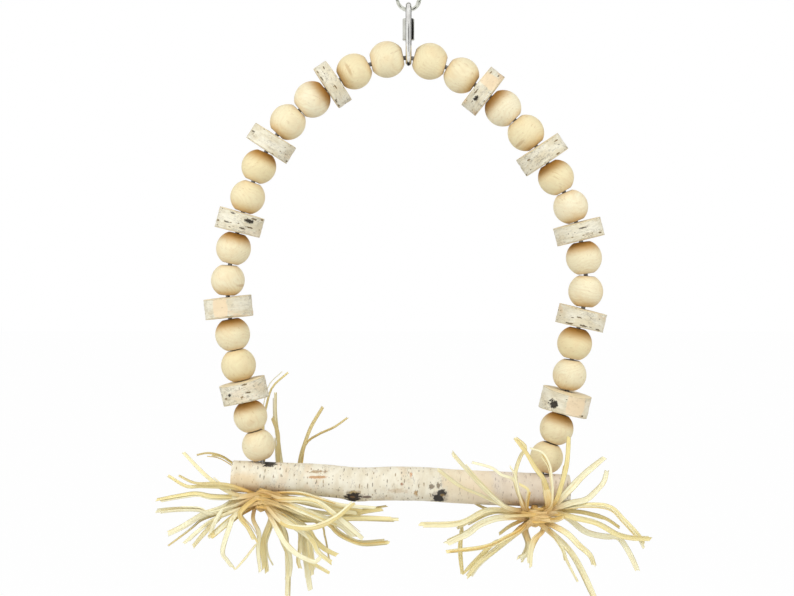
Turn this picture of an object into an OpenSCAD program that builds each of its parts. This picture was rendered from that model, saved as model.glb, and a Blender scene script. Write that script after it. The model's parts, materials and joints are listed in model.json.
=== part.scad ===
// Bird swing: a wire arch strung with turned beads and slices of birch, with a birch perch across
// its feet, a tuft of raffia tied under each end, and a quick link on a split ring to hang it by.
// Millimetres. X runs along the perch, Y points away from the viewer, Z is up, and the origin is
// the centre of the split ring, in the plane of the arch.

/* [Split ring] */
// Outer diameter of the split ring
ring_d = 14.4; // [13.4:0.2:18]
// Width of its flat wire, seen from the front
ring_wall = 1.85; // [1.5:0.05:2.2]
// Thickness of one turn of it
ring_turn_t = 1.2; // [0.8:0.1:1.5]

/* [Quick link] */
// Diameter of the link's rod
link_rod_d = 3.3; // [2.8:0.1:3.6]
// Overall length of the link
link_len = 36; // [34:0.5:42]
// Overall width of the link
link_w = 15.6; // [15:0.2:18]
// Width of the way in when the link is open
link_opening = 4; // [3:0.1:4.5]
// Length of stud that the nut grips above the way in
nut_grip = 2; // [1.5:0.1:2.5]
// Width of the nut across its flats
nut_flats = 6.6; // [5.6:0.1:6.8]

/* [Wire] */
// Diameter of the arch wire
wire_d = 2.4; // [1.8:0.1:2.8]
// Inside diameter of the eye bent at each foot
eye_d = 5; // [4:0.1:6]

/* [Beads and slices] */
// Birch slices on each side of the arch, with two beads above each and two below the last
slices_per_side = 5; // [4:1:6]
// Diameter of a bead
bead_d = 19.8; // [17:0.2:21]
// Diameter of the flat at each end of a bead
bead_flat_d = 9; // [8:0.1:10]
// Bore of a bead
bead_bore_d = 5; // [4.6:0.1:6]
// Diameter of a slice
slice_d = 27; // [22:0.5:32]
// Thickness of a slice
slice_t = 11.3; // [8:0.1:14]
// Bore of a slice
slice_bore_d = 4.6; // [4.2:0.1:6]

/* [Perch] */
// Diameter of the perch at its middle
perch_d = 18.6; // [14:0.2:22]
// Length of perch outside the left foot
perch_left_l = 17.2; // [12:0.2:24]
// Length of perch outside the right foot
perch_right_l = 17.4; // [12:0.2:24]

/* [Raffia] */
// Length that a strand's place of 100 stands for
raffia_len = 56; // [45:1:65]
// Thickness of a strand
raffia_t = 0.4; // [0.3:0.05:0.6]

/* [Hidden] */
$fn = 64;
SIDES = ["left", "right"];
cut = 1; // overrun of every cut

// Gaps: the ring in the link, the link to the wire and its beads, between pieces on the wire,
// the last bead and the eye to the perch, the wire in the perch, the raffia in its eye and tie
ring_play = 0.3;
link_play = 0.1;
bead_link_play = 0.3;
string_gap = 0.14;
perch_play = 0.15;
eye_play = 0.3;
hole_play = 0.25;
raffia_play = 0.4;
tie_play = 0.06;
nut_play = 0.08;
turn_play = 0.1;

// Split ring: where its two turns cross over, and over how many degrees
ring_in_r = ring_d / 2 - ring_wall;
ring_split_a = -18;
ring_cross_a = 26;

// Quick link, in the YZ plane: levels down its length
link_bend_r = (link_w - link_rod_d) / 2;
link_top_z = -ring_in_r + ring_play + link_rod_d;
link_pivot_z = link_top_z - link_rod_d / 2;
link_upper_z = link_pivot_z - link_bend_r;
link_lower_z = link_top_z - link_len + link_w / 2;
nut_top_play = 0.5;
nut_low_play = 1.5;
nut_travel = nut_grip + link_opening + tie_play;
nut_top_z = link_upper_z - nut_top_play;
nut_len = nut_top_z - link_lower_z - nut_low_play - nut_travel;
nut_bevel = 0.7;
gate_top_z = nut_top_z - nut_grip;
gate_low_z = gate_top_z - link_opening;

// Arch: the wire's top, how far it leans there, and the degrees it turns in each equal part of a side
wire_top_z = link_top_z - link_len + link_rod_d + link_play + wire_d / 2;
wire_lean = 3;
turns = [
    [19, 12.5, 6.5, 6, 7, 12.5, 9.5, 1.5, 5, 0.5, 13, 9, 1.5, 2, 1, 2.5, -1.5],
    [16.5, 14.5, 5, 6.5, 6, 6.5, 3, 9, 8.5, 5.5, 15, 7, -7.5, -0.5, 10.5, 1.5, -5]
];
foot_headings = [92, 104];
perch_heading = 92; // the heading that meets the perch square on
first_bead_lean = 14;
foot_bend_r = 1.5 * wire_d;
eye_r = (eye_d + wire_d) / 2;
eye_turn = 275;

// What is strung on a side: two beads, a slice, two beads and so on. Sizes differ as wood does
pieces = 3 * slices_per_side + 2;
bead_size_shares = [
    [1.03, 1.01, 1.03, 1.01, 0.98, 0.98, 0.98, 0.95, 0.98, 0.98, 0.95, 0.93],
    [1.03, 1.01, 1.03, 1.03, 1.01, 0.98, 1.01, 0.98, 0.98, 0.95, 0.95, 0.93]
];
slice_size_shares = [[0.97, 0.99, 0.98, 0.99, 0.96], [1.02, 1.04, 1, 1.02, 1.03]];
slice_thick_shares = [[0.75, 0.9, 1.01, 1.02, 1.03], [0.87, 0.96, 0.92, 0.93, 1.09]];
bead_flat_r = bead_flat_d / 2;

// Perch: radius along its length
perch_shares = [[0, 0.87], [0.006, 0.94], [0.3, 0.96], [0.52, 1.01], [0.7, 1], [0.994, 1], [1, 0.93]];
perch_foot_shares = [0.95, 1];

function sum_to(v, n) = n <= 0 ? 0 : v[n - 1] + sum_to(v, n - 1);
function sign_of(side) = side == 0 ? -1 : 1;
function is_slice(k) = k % 3 == 2;
function bead_no(k) = k - floor((k + 1) / 3);
function slice_no(k) = floor(k / 3);
function pick(v, i) = v[i % len(v)];

function bead_size(k, side) = bead_d * pick(bead_size_shares[side], bead_no(k));
function flat_size(k, side) = bead_flat_d * pick(bead_size_shares[side], bead_no(k));
function slice_size(k, side) = slice_d * pick(slice_size_shares[side], slice_no(k));
function piece_len(k, side) = is_slice(k) ? slice_t * pick(slice_thick_shares[side], slice_no(k))
    : sqrt(bead_size(k, side) ^ 2 - flat_size(k, side) ^ 2);

// The pieces fan out round a bend, so each gap grows with the wire's turn between two pieces
function arc_at(k, side) = floor((k + 0.5) * len(turns[side]) / pieces);
function turn_at(k, side) = max(abs(turns[side][arc_at(k, side)]), abs(turns[side][arc_at(k + 1, side)]));
function gap_after(k, side) = k == pieces - 1 ? 0
    : string_gap + bead_flat_r * sin(turn_at(k, side) * len(turns[side]) / pieces);

first_gap = link_rod_d / 2 + bead_link_play + bead_flat_r * sin(first_bead_lean);
lengths = [for (side = [0, 1]) [for (k = [0 : pieces - 1]) piece_len(k, side) + gap_after(k, side)]];
side_len = [for (side = [0, 1]) first_gap + sum_to(lengths[side], pieces)];
function mid_s(k, side) = first_gap + sum_to(lengths[side], k) + piece_len(k, side) / 2;

// A place on the wire is [x, z, heading]: the heading is 0 level outwards and 90 straight down
function arc_end(p, len, turn, sgn) = let (r = len * 180 / PI / turn, h = p[2])
    [p[0] + sgn * r * (sin(h + turn) - sin(h)), p[1] + r * (cos(h + turn) - cos(h)), h + turn];
function arc_start(side, i) = i == 0 ? [0, wire_top_z, sign_of(side) * wire_lean]
    : arc_end(arc_start(side, i - 1), side_len[side] / len(turns[side]), turns[side][i - 1], sign_of(side));
function on_wire(s, side) = let (
        n = len(turns[side]),
        l = side_len[side] / n,
        i = min(n - 1, floor(s / l)),
        part = s - i * l
    ) part < tie_play ? arc_start(side, i)
    : arc_end(arc_start(side, i), part, turns[side][i] * part / l, sign_of(side));

// Feet: a small bend under the last bead, then straight through the perch to the eye
string_end = [for (side = [0, 1]) arc_start(side, len(turns[side]))];
foot_turn = [for (side = [0, 1]) foot_headings[side] - string_end[side][2]];
foot_bend_l = [for (side = [0, 1]) foot_bend_r * abs(foot_turn[side]) * PI / 180];
foot_top = [for (side = [0, 1]) arc_end(string_end[side], foot_bend_l[side], foot_turn[side], sign_of(side))];
foot_dir = [for (side = [0, 1]) [sign_of(side) * cos(foot_headings[side]), -sin(foot_headings[side])]];
perch_r = perch_d / 2;
foot_r = [for (side = [0, 1]) perch_r * perch_foot_shares[side]];
foot_slant = [for (side = [0, 1]) cos(foot_headings[side] - perch_heading)];
stand_off = [for (side = [0, 1])
    perch_play + bead_flat_r * sin(abs(string_end[side][2] - perch_heading)) + 0.02 * perch_r];
perch_at = [for (side = [0, 1]) let (d = (stand_off[side] + foot_r[side]) / foot_slant[side] - foot_bend_l[side])
    [foot_top[side][0] + foot_dir[side][0] * d, foot_top[side][1] + foot_dir[side][1] * d]];
perch_span = norm(perch_at[1] - perch_at[0]);
perch_tilt = atan2(perch_at[1][1] - perch_at[0][1], perch_at[1][0] - perch_at[0][0]);
perch_len = perch_left_l + perch_span + perch_right_l;

// Eyes: under the perch the wire bends forward, and its eye stands before the perch's lower side.
// A place here is [y, z], and each eye leans forward from straight under the perch
eye_lean = [45, 32];
eye_from = [for (side = [0, 1])
    perch_at[side] + foot_dir[side] * (foot_r[side] + eye_play + wire_d / 2) / foot_slant[side]];
eye_far = [for (side = [0, 1]) foot_r[side] + eye_play + wire_d / 2 + eye_r];
eye_at = [for (side = [0, 1]) [-eye_far[side] * sin(eye_lean[side]), perch_at[side][1]
    + (eye_from[side][0] - perch_at[side][0]) * tan(perch_tilt) - eye_far[side] * cos(eye_lean[side])]];
bend_at = [for (side = [0, 1]) [-eye_r, eye_from[side][1]]];
eye_bend = [for (side = [0, 1]) let (v = eye_at[side] - bend_at[side]) atan2(-v[0], -v[1])];

// The wire's line from the left eye over the top to the right one: [point, tangent, a side to it]
wire_sides = 16;
side_steps = 48;
bend_steps = 4;
eye_bend_steps = 6;
eye_steps = 20;
Y = [0, 1, 0];
function place(p, side) = [[p[0], 0, p[1]], [sign_of(side) * cos(p[2]), 0, -sin(p[2])], Y];
function eye_place(side, c, a) = [[eye_from[side][0], c[0] + eye_r * cos(a), c[1] - eye_r * sin(a)],
    [0, -sin(a), -cos(a)], [0, cos(a), -sin(a)]];
function down_side(side) = concat(
    [for (i = [0 : side_steps]) place(on_wire(side_len[side] * i / side_steps, side), side)],
    [for (i = [1 : bend_steps]) let (part = i / bend_steps, l = foot_bend_l[side], turn = foot_turn[side])
        place(arc_end(string_end[side], part * l, part * turn, sign_of(side)), side)],
    [for (i = [0 : eye_bend_steps]) eye_place(side, bend_at[side], eye_bend[side] * i / eye_bend_steps)],
    [for (i = [0 : eye_steps]) eye_place(side, eye_at[side], eye_bend[side] + eye_turn * i / eye_steps)]);
left_path = down_side(0);
wire_path = concat(
    [for (i = [len(left_path) - 1 : -1 : 1]) let (p = left_path[i]) [p[0], -p[1], p[2]]],
    down_side(1));

// Raffia: each bunch lies along X through its eye, between two turns of a tie, and fans out.
// A strand is [width, twist in degrees, [x, y, z], ...] in hundredths of raffia_len from a place
// under the perch, in the arch's plane. A strand whose twist is followed by a 0 starts at its first
// place and not in the bunch.
share = raffia_len / 100;
waist_r = eye_d / 2 - raffia_play;
bunch_r = 1.65 * waist_r;
tie_w = 1.9;
tie_t = 0.55;
tie_x = wire_d / 2 + raffia_play + tie_w / 2;
bunch_x = tie_x + tie_w / 2 + 3 * raffia_play;
tuft_at = [for (side = [0, 1]) [eye_from[side][0], perch_at[side][1] - perch_r - 3.3]];
bunch_at = [for (side = [0, 1]) [0, eye_at[side][0], eye_at[side][1] - tuft_at[side][1]]];
rings_per_span = 2;

left_strand_shares = [
    [4, 10, [-29, -14, 9], [-54, -12, 25], [-79, -8, 49]],
    [3.5, 0, [-26, -18, 15], [-41, -16, 16], [-61, -13, 16], [-76, -11, 16], [-94, -9, 26]],
    [3, 15, [-28, -21, 18], [-44, -19, 20], [-66, -16, 20], [-83, -13, 27]],
    [3.5, 5, [-31, -10, 5], [-51, -12, 6], [-66, -12, 9], [-86, -10, 6], [-106, -9, 2]],
    [6, -12, [-31, -14, -4], [-52, -15, -10], [-63, -16, -6], [-86, -14, -6], [-105, -13, -8]],
    [6, 0, [-26, -5, 1], [-41, -6, -7], [-61, -7, -14], [-81, -6, -26], [-95, -5, -33]],
    [2.5, 20, [-40, -2, -12], [-61, -3, -19], [-71, -3, -27], [-84, -3, -37], [-95, -3, -45]],
    [4, 10, [-44, -12, -15], [-61, -12, -26], [-78, -11, -41]],
    [5, -10, [-36, 1, -11], [-49, 1, -22], [-61, 1, -35], [-71, 1, -47]],
    [7, 0, [-20, -18, -8], [-36, -19, -20], [-51, -19, -33]],
    [4, 0, 0, [-52, -19, -34], [-46, -22, -18], [-38, -23, -4]],
    [2, 0, [-26, -20, -12], [-30, -21, -22], [-37, -20, -47], [-32, -19, -57], [-26, -18, -65]],
    [2, 0, 0, [-26, -18, -65], [-16, -17, -54], [-5, -16, -40]],
    [2.5, 10, [-20, -23, -9], [-11, -21, -24], [-4, -19, -38]],
    [4, 0, [-9, -14, -15], [-3, -14, -30], [-4, -13, -47], [-2, -12, -69]],
    [4, 20, [9, -8, -16], [1, -6, -42], [3, -5, -72]],
    [2, 0, [9, -2, -18], [3, 1, -40], [4, 2, -55], [9, 3, -66]],
    [5.5, -8, [14, -17, -17], [21, -18, -37], [26, -18, -49], [27, -17, -62], [25, -16, -74]],
    [3.5, 15, [20, 4, -30], [23, 5, -47], [24, 6, -75], [23, 7, -100]],
    [4, 0, [34, -12, -24], [37, -12, -42], [35, -12, -57], [37, -12, -65]],
    [7, 10, [37, -5, -25], [40, -5, -42], [43, -5, -62], [45, -5, -77], [47, -5, -89]],
    [4, 0, [42, -17, -27], [47, -17, -42], [50, -16, -71]],
    [4, -15, [18, -22, -26], [24, -23, -37], [37, -23, -50], [47, -22, -56], [67, -20, -68]],
    [2, 0, [26, -27, -40], [50, -27, -55], [59, -26, -51]],
    [5.5, 0, [42, -9, -25], [52, -9, -38], [62, -9, -47], [74, -9, -53]],
    [5.5, 12, [46, -20, -32], [56, -20, -47], [69, -19, -58]],
    [2, 0, [54, -1, -23], [61, -1, -35], [66, -1, -62]],
    [3.5, 0, [40, -10, -12], [64, -13, -20], [74, -13, -30], [86, -13, -37], [99, -13, -41], [126, -11, -40]],
    [7.5, 5, [19, -20, 3], [39, -23, -4], [59, -23, -12], [79, -22, -20], [91, -21, -32]],
    [5.5, 0, [24, -23, 5], [54, -28, 4], [79, -28, -14], [100, -26, -33]],
    [3.5, -10, [19, -25, -17], [34, -28, -22], [54, -32, -21], [74, -32, -12], [92, -30, 3]],
    [3, 0, [34, -1, -18], [79, 1, -16], [99, 1, -10], [123, 1, -6]],
    [4, 10, [40, 4, -10], [79, 6, -16], [101, 6, -11]],
    [4, 0, [30, -7, -14], [54, -6, -18], [89, -5, -17], [135, -4, -18.5]],
    [4, 0, [19, -16, 10], [39, -19, 10], [59, -18, 4], [79, -16, -2], [112, -14, -5]],
    [4, 15, [25, -13, 5], [50, -13, 1], [75, -11, -6], [100, -10, -9]],
    [4, -10, [28, -9, 2], [55, -8, -4], [82, -7, -10]],
    [2.5, 10, [-14, 20, 4], [-22, 25, 22], [-36, 20, 35], [-46, 16, 42], [-58, 13, 45], [-69, 12, 43]],
    [2.5, 0, [-9, 16, -3], [-4, 26, 20], [-2, 24, 45], [-3, 23, 73], [0, 25, 91], [6, 27, 110],
        [22, 27, 125]],
    [4.5, 10, [9, 16, -3], [12, 27, 20], [12, 24, 41], [12, 23, 63], [6, 23, 80]],
    [3.5, 0, [12, 19, -4], [15, 33, 22], [13, 31, 45], [11, 29, 63], [9, 29, 83], [9, 29, 105]],
    [4, -10, [18, 17, -1], [30, 27, 20], [35, 24, 41], [39, 22, 53], [46, 21, 71], [58, 20, 91]],
    [2.5, 0, [18, 22, -3], [33, 33, 22], [39, 31, 50], [52, 29, 61], [69, 28, 69], [83, 27, 79]]
];
right_strand_shares = [
    [5, 5, [-29, -12, 5], [-49, -15, 5], [-74, -14, -7], [-114, -11, -9]],
    [7, -5, [-34, -18, -1], [-54, -20, -7], [-66, -20, -16], [-87, -18, -27]],
    [5, 0, [-39, -5, 2], [-71, -4, -11]],
    [4.5, 0, 0, [-71, -5, -11], [-73, -6, -35], [-71, -7, -60]],
    [4.5, 0, 0, [-71, -7, -60], [-54, -9, -42], [-39, -10, -28], [-27, -11, -24], [-12, -11, -10]],
    [4.5, 0, [-14, -19, -13], [-29, -22, -20], [-49, -22, -29], [-88, -20, -34.5]],
    [5, 10, [-29, -15, -26], [-54, -16, -45], [-67, -16, -60]],
    [4, 0, [-22, 1, -13], [-34, 2, -22]],
    [3.5, 0, [-24, -20, 7], [-39, -23, 15], [-56, -24, 23], [-74, -24, 31], [-96, -23, 48]],
    [4.5, 0, [-22, -21, 8], [-34, -26, 14], [-54, -28, 33], [-72, -28, 53], [-82, -27, 65]],
    [3, 0, [-13, -23, 10], [-16, -27, 22], [-22, -29, 38], [-34, -29, 43], [-44, -29, 50], [-63, -28, 55]],
    [2, 0, [-11, -26, 10], [-17, -32, 25], [-21, -32, 43], [-26, -32, 52]],
    [4, -10, [-10, -20, 10], [-18, -24, 27], [-20, -23, 43], [-15, -23, 60], [-10, -23, 69], [-20, -22, 78]],
    [4.5, 0, [12, -20, 13], [9, -26, 35], [-1, -28, 50], [-10, -29, 65], [-20, -29, 78]],
    [3, 0, [-9, -28, 12], [-8, -33, 28], [-17, -34, 35]],
    [8, 0, [13, -22, 9], [12, -25, 20], [9, -23, 35]],
    [2, 0, [14, -28, 12], [16, -31, 25], [15, -32, 40], [13, -32, 53], [6, -31, 65], [-6, -30, 69]],
    [5, 10, [19, -21, 15], [26, -22, 35], [31, -21, 55], [33, -20, 79]],
    [6.5, -5, [20, -19, 13], [34, -20, 27], [49, -18, 42], [69, -16, 58]],
    [6, 0, [20, -16, 8], [36, -16, 13], [51, -14, 16], [61, -12, 24], [69, -11, 33], [72, -11, 44]],
    [3.5, 10, [24, -13, 6], [51, -14, 9.5], [74, -13, 7], [88, -12, -6], [103, -11, -22], [109, -10, -33]],
    [5, 0, [24, -16, 2], [41, -18, -2], [61, -18, -7], [81, -17, -18], [96, -16, -22], [115, -15, -23]],
    [6, 0, [29, -9, -1], [51, -8, -17], [71, -8, -22], [84, -8, -23], [94, -8, -37], [103, -8, -56]],
    [6, -10, [29, -20, -15], [43, -21, -28], [54, -20, -38], [58, -19, -48]],
    [4, 0, [24, -4, -25], [36, -4, -38], [46, -4, -55], [62, -4, -90]],
    [3, 15, [26, -14, -30], [32, -14, -45], [43, -13, -66]],
    [4, 0, [-9, -10, -15], [-5, -11, -30], [-8, -11, -38], [-17, -10, -43]],
    [3, 0, [-10, -3, -16], [-5, 0, -33], [-11, 1, -50]],
    [3.5, 0, [9, -14, -15], [0, -16, -24], [-3, -16, -36], [-4, -16, -51]],
    [3, 10, [9, -5, -14], [1, -6, -30], [-2, -6, -40]],
    [5, 0, [18, -22, -2], [29, -23, 2]],
    [4, 0, [22, -7, 3], [45, -6, 2], [70, -5, -4], [86, -5, -14]],
    [3.5, 10, [-26, -8, 3], [-50, -9, 0], [-76, -8, -14]],
    [3, 0, [-24, 6, 0], [-46, 10, 2], [-66, 12, 12]],
    [3, 0, [22, 8, -3], [44, 12, 2], [62, 13, 14]]
];
strand_shares = [left_strand_shares, right_strand_shares];

function spline(a, b, c, d, t) = 0.5 * (2 * b + (c - a) * t + (2 * a - 5 * b + 4 * c - d) * t ^ 2
    + (3 * b - a - 3 * c + d) * t ^ 3);
function smooth(p) = let (n = len(p)) concat(
    [for (i = [0 : n - 2], j = [0 : rings_per_span - 1])
        spline(i == 0 ? 2 * p[0] - p[1] : p[i - 1], p[i], p[i + 1],
            i == n - 2 ? 2 * p[n - 1] - p[n - 2] : p[i + 2], j / rings_per_span)],
    [p[n - 1]]);
function unit(v) = v / norm(v);
function along(p, i) = unit(p[min(i + 1, len(p) - 1)] - p[max(i - 1, 0)]);

// Where a strand leaves the bunch: inside its end, towards the strand's next place
function root_of(p, side) = let (b = bunch_at[side], out = [0, p[1] - b[1], p[2] - b[2]])
    b + [sign(p[0]) * (bunch_x - raffia_play), 0, 0] + 0.5 * bunch_r * out / norm(out);
function strand_path(s, side) = s[2] == 0 ? [for (i = [3 : len(s) - 1]) share * s[i]]
    : concat([root_of(share * s[2], side)], [for (i = [2 : len(s) - 1]) share * s[i]]);

function name_of(side, k) = is_slice(k) ? str(SIDES[side], "_slice_", slice_no(k) + 1)
    : str(SIDES[side], "_bead_", bead_no(k) + 1);

// Turns the XY plane into the plane of the arch
module in_arch(x, z, a = 0) {
    translate([x, 0, z]) rotate([90, 0, 0]) rotate([0, 0, a]) children();
}

// One turn of the split ring, from the crossover round to it again
module ring_turn(y, from) {
    translate([0, y, 0]) in_arch(0, 0, from) rotate_extrude(angle = 360 - ring_cross_a)
        translate([ring_in_r, -ring_turn_t / 2]) square([ring_wall, ring_turn_t]);
}

module split_ring() {
    y = (ring_turn_t + turn_play) / 2;
    color("gainsboro") {
        ring_turn(-y, ring_split_a);
        ring_turn(y, ring_split_a + ring_cross_a);
        hull() {
            translate([0, -y, 0]) ring_slice(ring_split_a - ring_cross_a);
            translate([0, y, 0]) ring_slice(ring_split_a + ring_cross_a);
        }
    }
}

module ring_slice(a) {
    in_arch(0, 0, a) translate([ring_in_r, 0, -ring_turn_t / 2]) cube([ring_wall, turn_play, ring_turn_t]);
}

// Half of the link's rod lies in front of the arch; the nut's half, behind it, has the way in
module link_bow(z, a) {
    translate([0, 0, z]) rotate([90, 0, 90]) rotate([0, 0, a]) rotate_extrude(angle = 180)
        translate([link_bend_r, 0]) circle(d = link_rod_d);
}

module link_rod(y, low_z, high_z) {
    translate([0, y, low_z]) cylinder(d = link_rod_d, h = high_z - low_z);
}

module link_body() {
    color("silver") {
        link_bow(link_upper_z, 0);
        link_bow(link_lower_z, 180);
        link_rod(-link_bend_r, link_lower_z, link_upper_z);
        link_rod(link_bend_r, gate_top_z, link_upper_z);
        link_rod(link_bend_r, link_lower_z, gate_low_z);
    }
}

module link_nut() {
    corner_r = nut_flats / 2 / cos(30);
    color("darkgray") translate([0, link_bend_r, nut_top_z - nut_len]) difference() {
        intersection() {
            rotate([0, 0, 30]) cylinder(r = corner_r, h = nut_len, $fn = 6);
            rotate_extrude() polygon([
                [0, 0], [corner_r - nut_bevel, 0], [corner_r, nut_bevel],
                [corner_r, nut_len - nut_bevel], [corner_r - nut_bevel, nut_len], [0, nut_len]
            ]);
        }
        translate([0, 0, -cut]) cylinder(r = link_rod_d / 2 + nut_play, h = nut_len + 2 * cut);
    }
}

// Stands Z along a heading of the wire, at a place in the arch
module at_heading(x, z, heading, sgn) {
    translate([x, 0, z]) rotate([0, atan2(sgn * cos(heading), -sin(heading)), 0]) children();
}

// A solid through rings of points, each ring anticlockwise seen from the last one
module loft(rings) {
    n = len(rings) - 1;
    m = len(rings[0]);
    polyhedron([for (ring = rings, p = ring) p], concat(
        [[for (j = [0 : m - 1]) j], [for (j = [m - 1 : -1 : 0]) m * n + j]],
        [for (i = [0 : n - 1], j = [0 : m - 1], f = [0, 1]) let (a = m * i + j, b = m * i + (j + 1) % m)
            f == 0 ? [a, b + m, b] : [a, a + m, b + m]]
    ));
}

module arch_wire() {
    color("gray") loft([for (p = wire_path) let (v = cross(p[1], p[2]))
        [for (j = [0 : wire_sides - 1]) let (a = 360 * j / wire_sides)
            p[0] + wire_d / 2 * (cos(a) * p[2] + sin(a) * v)]]);
}

module bead(size, len, bore) {
    color("wheat") difference() {
        intersection() {
            sphere(d = size);
            cube([2 * size, 2 * size, len], center = true);
        }
        cylinder(d = bore, h = len + 2 * cut, center = true);
    }
}

module slice(size, thick, bore) {
    color("linen") difference() {
        cylinder(d = size, h = thick, center = true);
        cylinder(d = bore, h = thick + 2 * cut, center = true);
    }
}

// What is strung on the wire in one place
module strung(side, k) {
    p = on_wire(mid_s(k, side), side);
    at_heading(p[0], p[1], p[2], sign_of(side))
        if (is_slice(k)) slice(slice_size(k, side), piece_len(k, side), slice_bore_d);
        else bead(bead_size(k, side), piece_len(k, side), bead_bore_d);
}

module perch() {
    start = perch_at[0] - perch_left_l * [cos(perch_tilt), sin(perch_tilt)];
    outline = [for (s = perch_shares) [s[1] * perch_r, s[0] * perch_len]];
    color("antiquewhite") difference() {
        translate([start[0], 0, start[1]]) rotate([0, 90 - perch_tilt, 0])
            rotate_extrude() polygon(concat([[0, 0]], outline, [[0, perch_len]]));
        for (side = [0, 1])
            at_heading(perch_at[side][0], perch_at[side][1], foot_headings[side], sign_of(side))
                cylinder(d = wire_d + 2 * hole_play, h = 2 * perch_d, center = true);
    }
}

// Two turns of raffia round a bunch, one on each side of its eye
module tie(side) {
    color("palegoldenrod") for (x = [-tie_x, tie_x])
        translate([eye_from[side][0] + x - tie_w / 2, eye_at[side][0], eye_at[side][1]]) rotate([0, 90, 0]) difference() {
            cylinder(r = bunch_r + tie_play + tie_t, h = tie_w);
            translate([0, 0, -cut]) cylinder(r = bunch_r + tie_play, h = tie_w + 2 * cut);
        }
}

// A flat ribbon of four sides through its places, turned about its own line by the twist
module strand(s, side) {
    p = smooth(strand_path(s, side));
    n = len(p) - 1;
    half_w = share * s[0] / 2;
    loft([for (i = [0 : n]) let (
            t = along(p, i),
            across = unit(cross(t, Y)),
            through = cross(t, across),
            a = s[1] * sin(180 * i / n),
            w = half_w * (1 - (1 - i / n) ^ 3 / 2 - (i / n) ^ 3 / 4) * (across * cos(a) + through * sin(a)),
            d = raffia_t / 2 * (through * cos(a) - across * sin(a))
        ) [for (c = [-w - d, w - d, w + d, d - w]) p[i] + c]]);
}

module raffia(side) {
    profile = [for (x = [-1 : 0.2 : 1]) [x * bunch_x, abs(x) < 0.4 ? waist_r : bunch_r]];
    color("khaki") translate([tuft_at[side][0], 0, tuft_at[side][1]]) {
        for (i = [0 : len(profile) - 2]) translate(bunch_at[side]) hull() {
            lobe(profile[i]);
            lobe(profile[i + 1]);
        }
        for (s = strand_shares[side]) strand(s, side);
    }
}

module lobe(p) {
    translate([p[0], 0, 0]) rotate([0, 90, 0]) cylinder(r = p[1], h = raffia_t, center = true, $fn = 20);
}

split_ring();
link_body();
link_nut();
arch_wire();
perch();
for (side = [0, 1], k = [0 : pieces - 1]) strung(side, k);
tie(0);  // left_tie
tie(1);  // right_tie
raffia(0);  // left_raffia
raffia(1);  // right_raffia
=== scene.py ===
# Bird swing: turned beads and birch slices on a wire arch, a birch perch and two tufts of raffia.
# Metres, in the frame of the CAD model: X runs along the perch, Y away from the viewer, Z is up.
import json
import math
import random

import bmesh
import bpy
from mathutils import Matrix, Vector, noise


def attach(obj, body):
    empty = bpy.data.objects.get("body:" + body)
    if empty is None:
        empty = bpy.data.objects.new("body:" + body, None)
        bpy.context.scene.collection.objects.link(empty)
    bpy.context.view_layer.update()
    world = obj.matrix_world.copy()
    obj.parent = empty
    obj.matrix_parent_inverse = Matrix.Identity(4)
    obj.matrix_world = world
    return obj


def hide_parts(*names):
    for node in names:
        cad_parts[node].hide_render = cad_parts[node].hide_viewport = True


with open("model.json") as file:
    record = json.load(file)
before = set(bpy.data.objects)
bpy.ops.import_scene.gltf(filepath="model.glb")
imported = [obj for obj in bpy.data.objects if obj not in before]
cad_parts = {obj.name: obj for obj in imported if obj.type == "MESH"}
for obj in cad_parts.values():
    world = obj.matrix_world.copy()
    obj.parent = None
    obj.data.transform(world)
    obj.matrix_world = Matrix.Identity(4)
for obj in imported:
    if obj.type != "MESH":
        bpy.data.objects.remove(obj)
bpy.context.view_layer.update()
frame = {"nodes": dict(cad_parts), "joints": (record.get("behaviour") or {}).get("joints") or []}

mm = 0.001
# how near a vertex lies to count as on a level, and as on a rim
hair, close = 0.01 * mm, 0.05 * mm
fullTurn = 6.28
toViewer = Vector((0, -1, 0))
sides = ("left", "right")
print("frame loaded:", len(frame["nodes"]), "nodes")


# Selecting and applying

def objectMode():
    if bpy.context.mode != "OBJECT":
        bpy.ops.object.mode_set(mode="OBJECT")


def clearSelection():
    objectMode()
    bpy.ops.object.select_all(action="DESELECT")


def pick(piece):
    clearSelection()
    piece.select_set(True)
    bpy.context.view_layer.objects.active = piece


def startEdit(piece):
    pick(piece)
    bpy.ops.object.mode_set(mode="EDIT")


def selectWhere(piece, kind, wanted):
    bpy.ops.mesh.select_mode(type=kind)
    bpy.ops.mesh.select_all(action="DESELECT")
    work = bmesh.from_edit_mesh(piece.data)
    for part in work.faces if kind == "FACE" else work.edges:
        part.select_set(wanted(part))
    bmesh.update_edit_mesh(piece.data)


def isEnd(face):
    return abs(face.normal.z) > 0.99


def widening(edge):
    return abs(edge.verts[0].co.xy.length - edge.verts[1].co.xy.length)


def makeRod(rounds, radius, length, cuts, insets):
    # a cylinder along Z, cut into levels, its ends inset; it stays in edit mode
    clearSelection()
    bpy.ops.mesh.primitive_cylinder_add(vertices=rounds, radius=radius, depth=length, end_fill_type="NGON")
    rod = bpy.context.object
    startEdit(rod)
    selectWhere(rod, "EDGE", lambda edge: abs(edge.verts[0].co.z - edge.verts[1].co.z) > length / 2)
    bpy.ops.mesh.subdivide(number_cuts=cuts)
    selectWhere(rod, "FACE", isEnd)
    for step in insets:
        bpy.ops.mesh.inset(thickness=step)
    return rod


def markSawn(mesh, within):
    for face in mesh.polygons:
        face.material_index = int(abs(face.normal.z) > 0.8 and face.center.xy.length < within)


def applyModifiers(piece):
    pick(piece)
    for modifier in list(piece.modifiers):
        bpy.ops.object.modifier_apply(modifier=modifier.name)


def turnOutward(piece):
    startEdit(piece)
    bpy.ops.mesh.select_all(action="SELECT")
    bpy.ops.mesh.remove_doubles(threshold=0.001 * mm)
    bpy.ops.mesh.normals_make_consistent(inside=False)
    objectMode()


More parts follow.
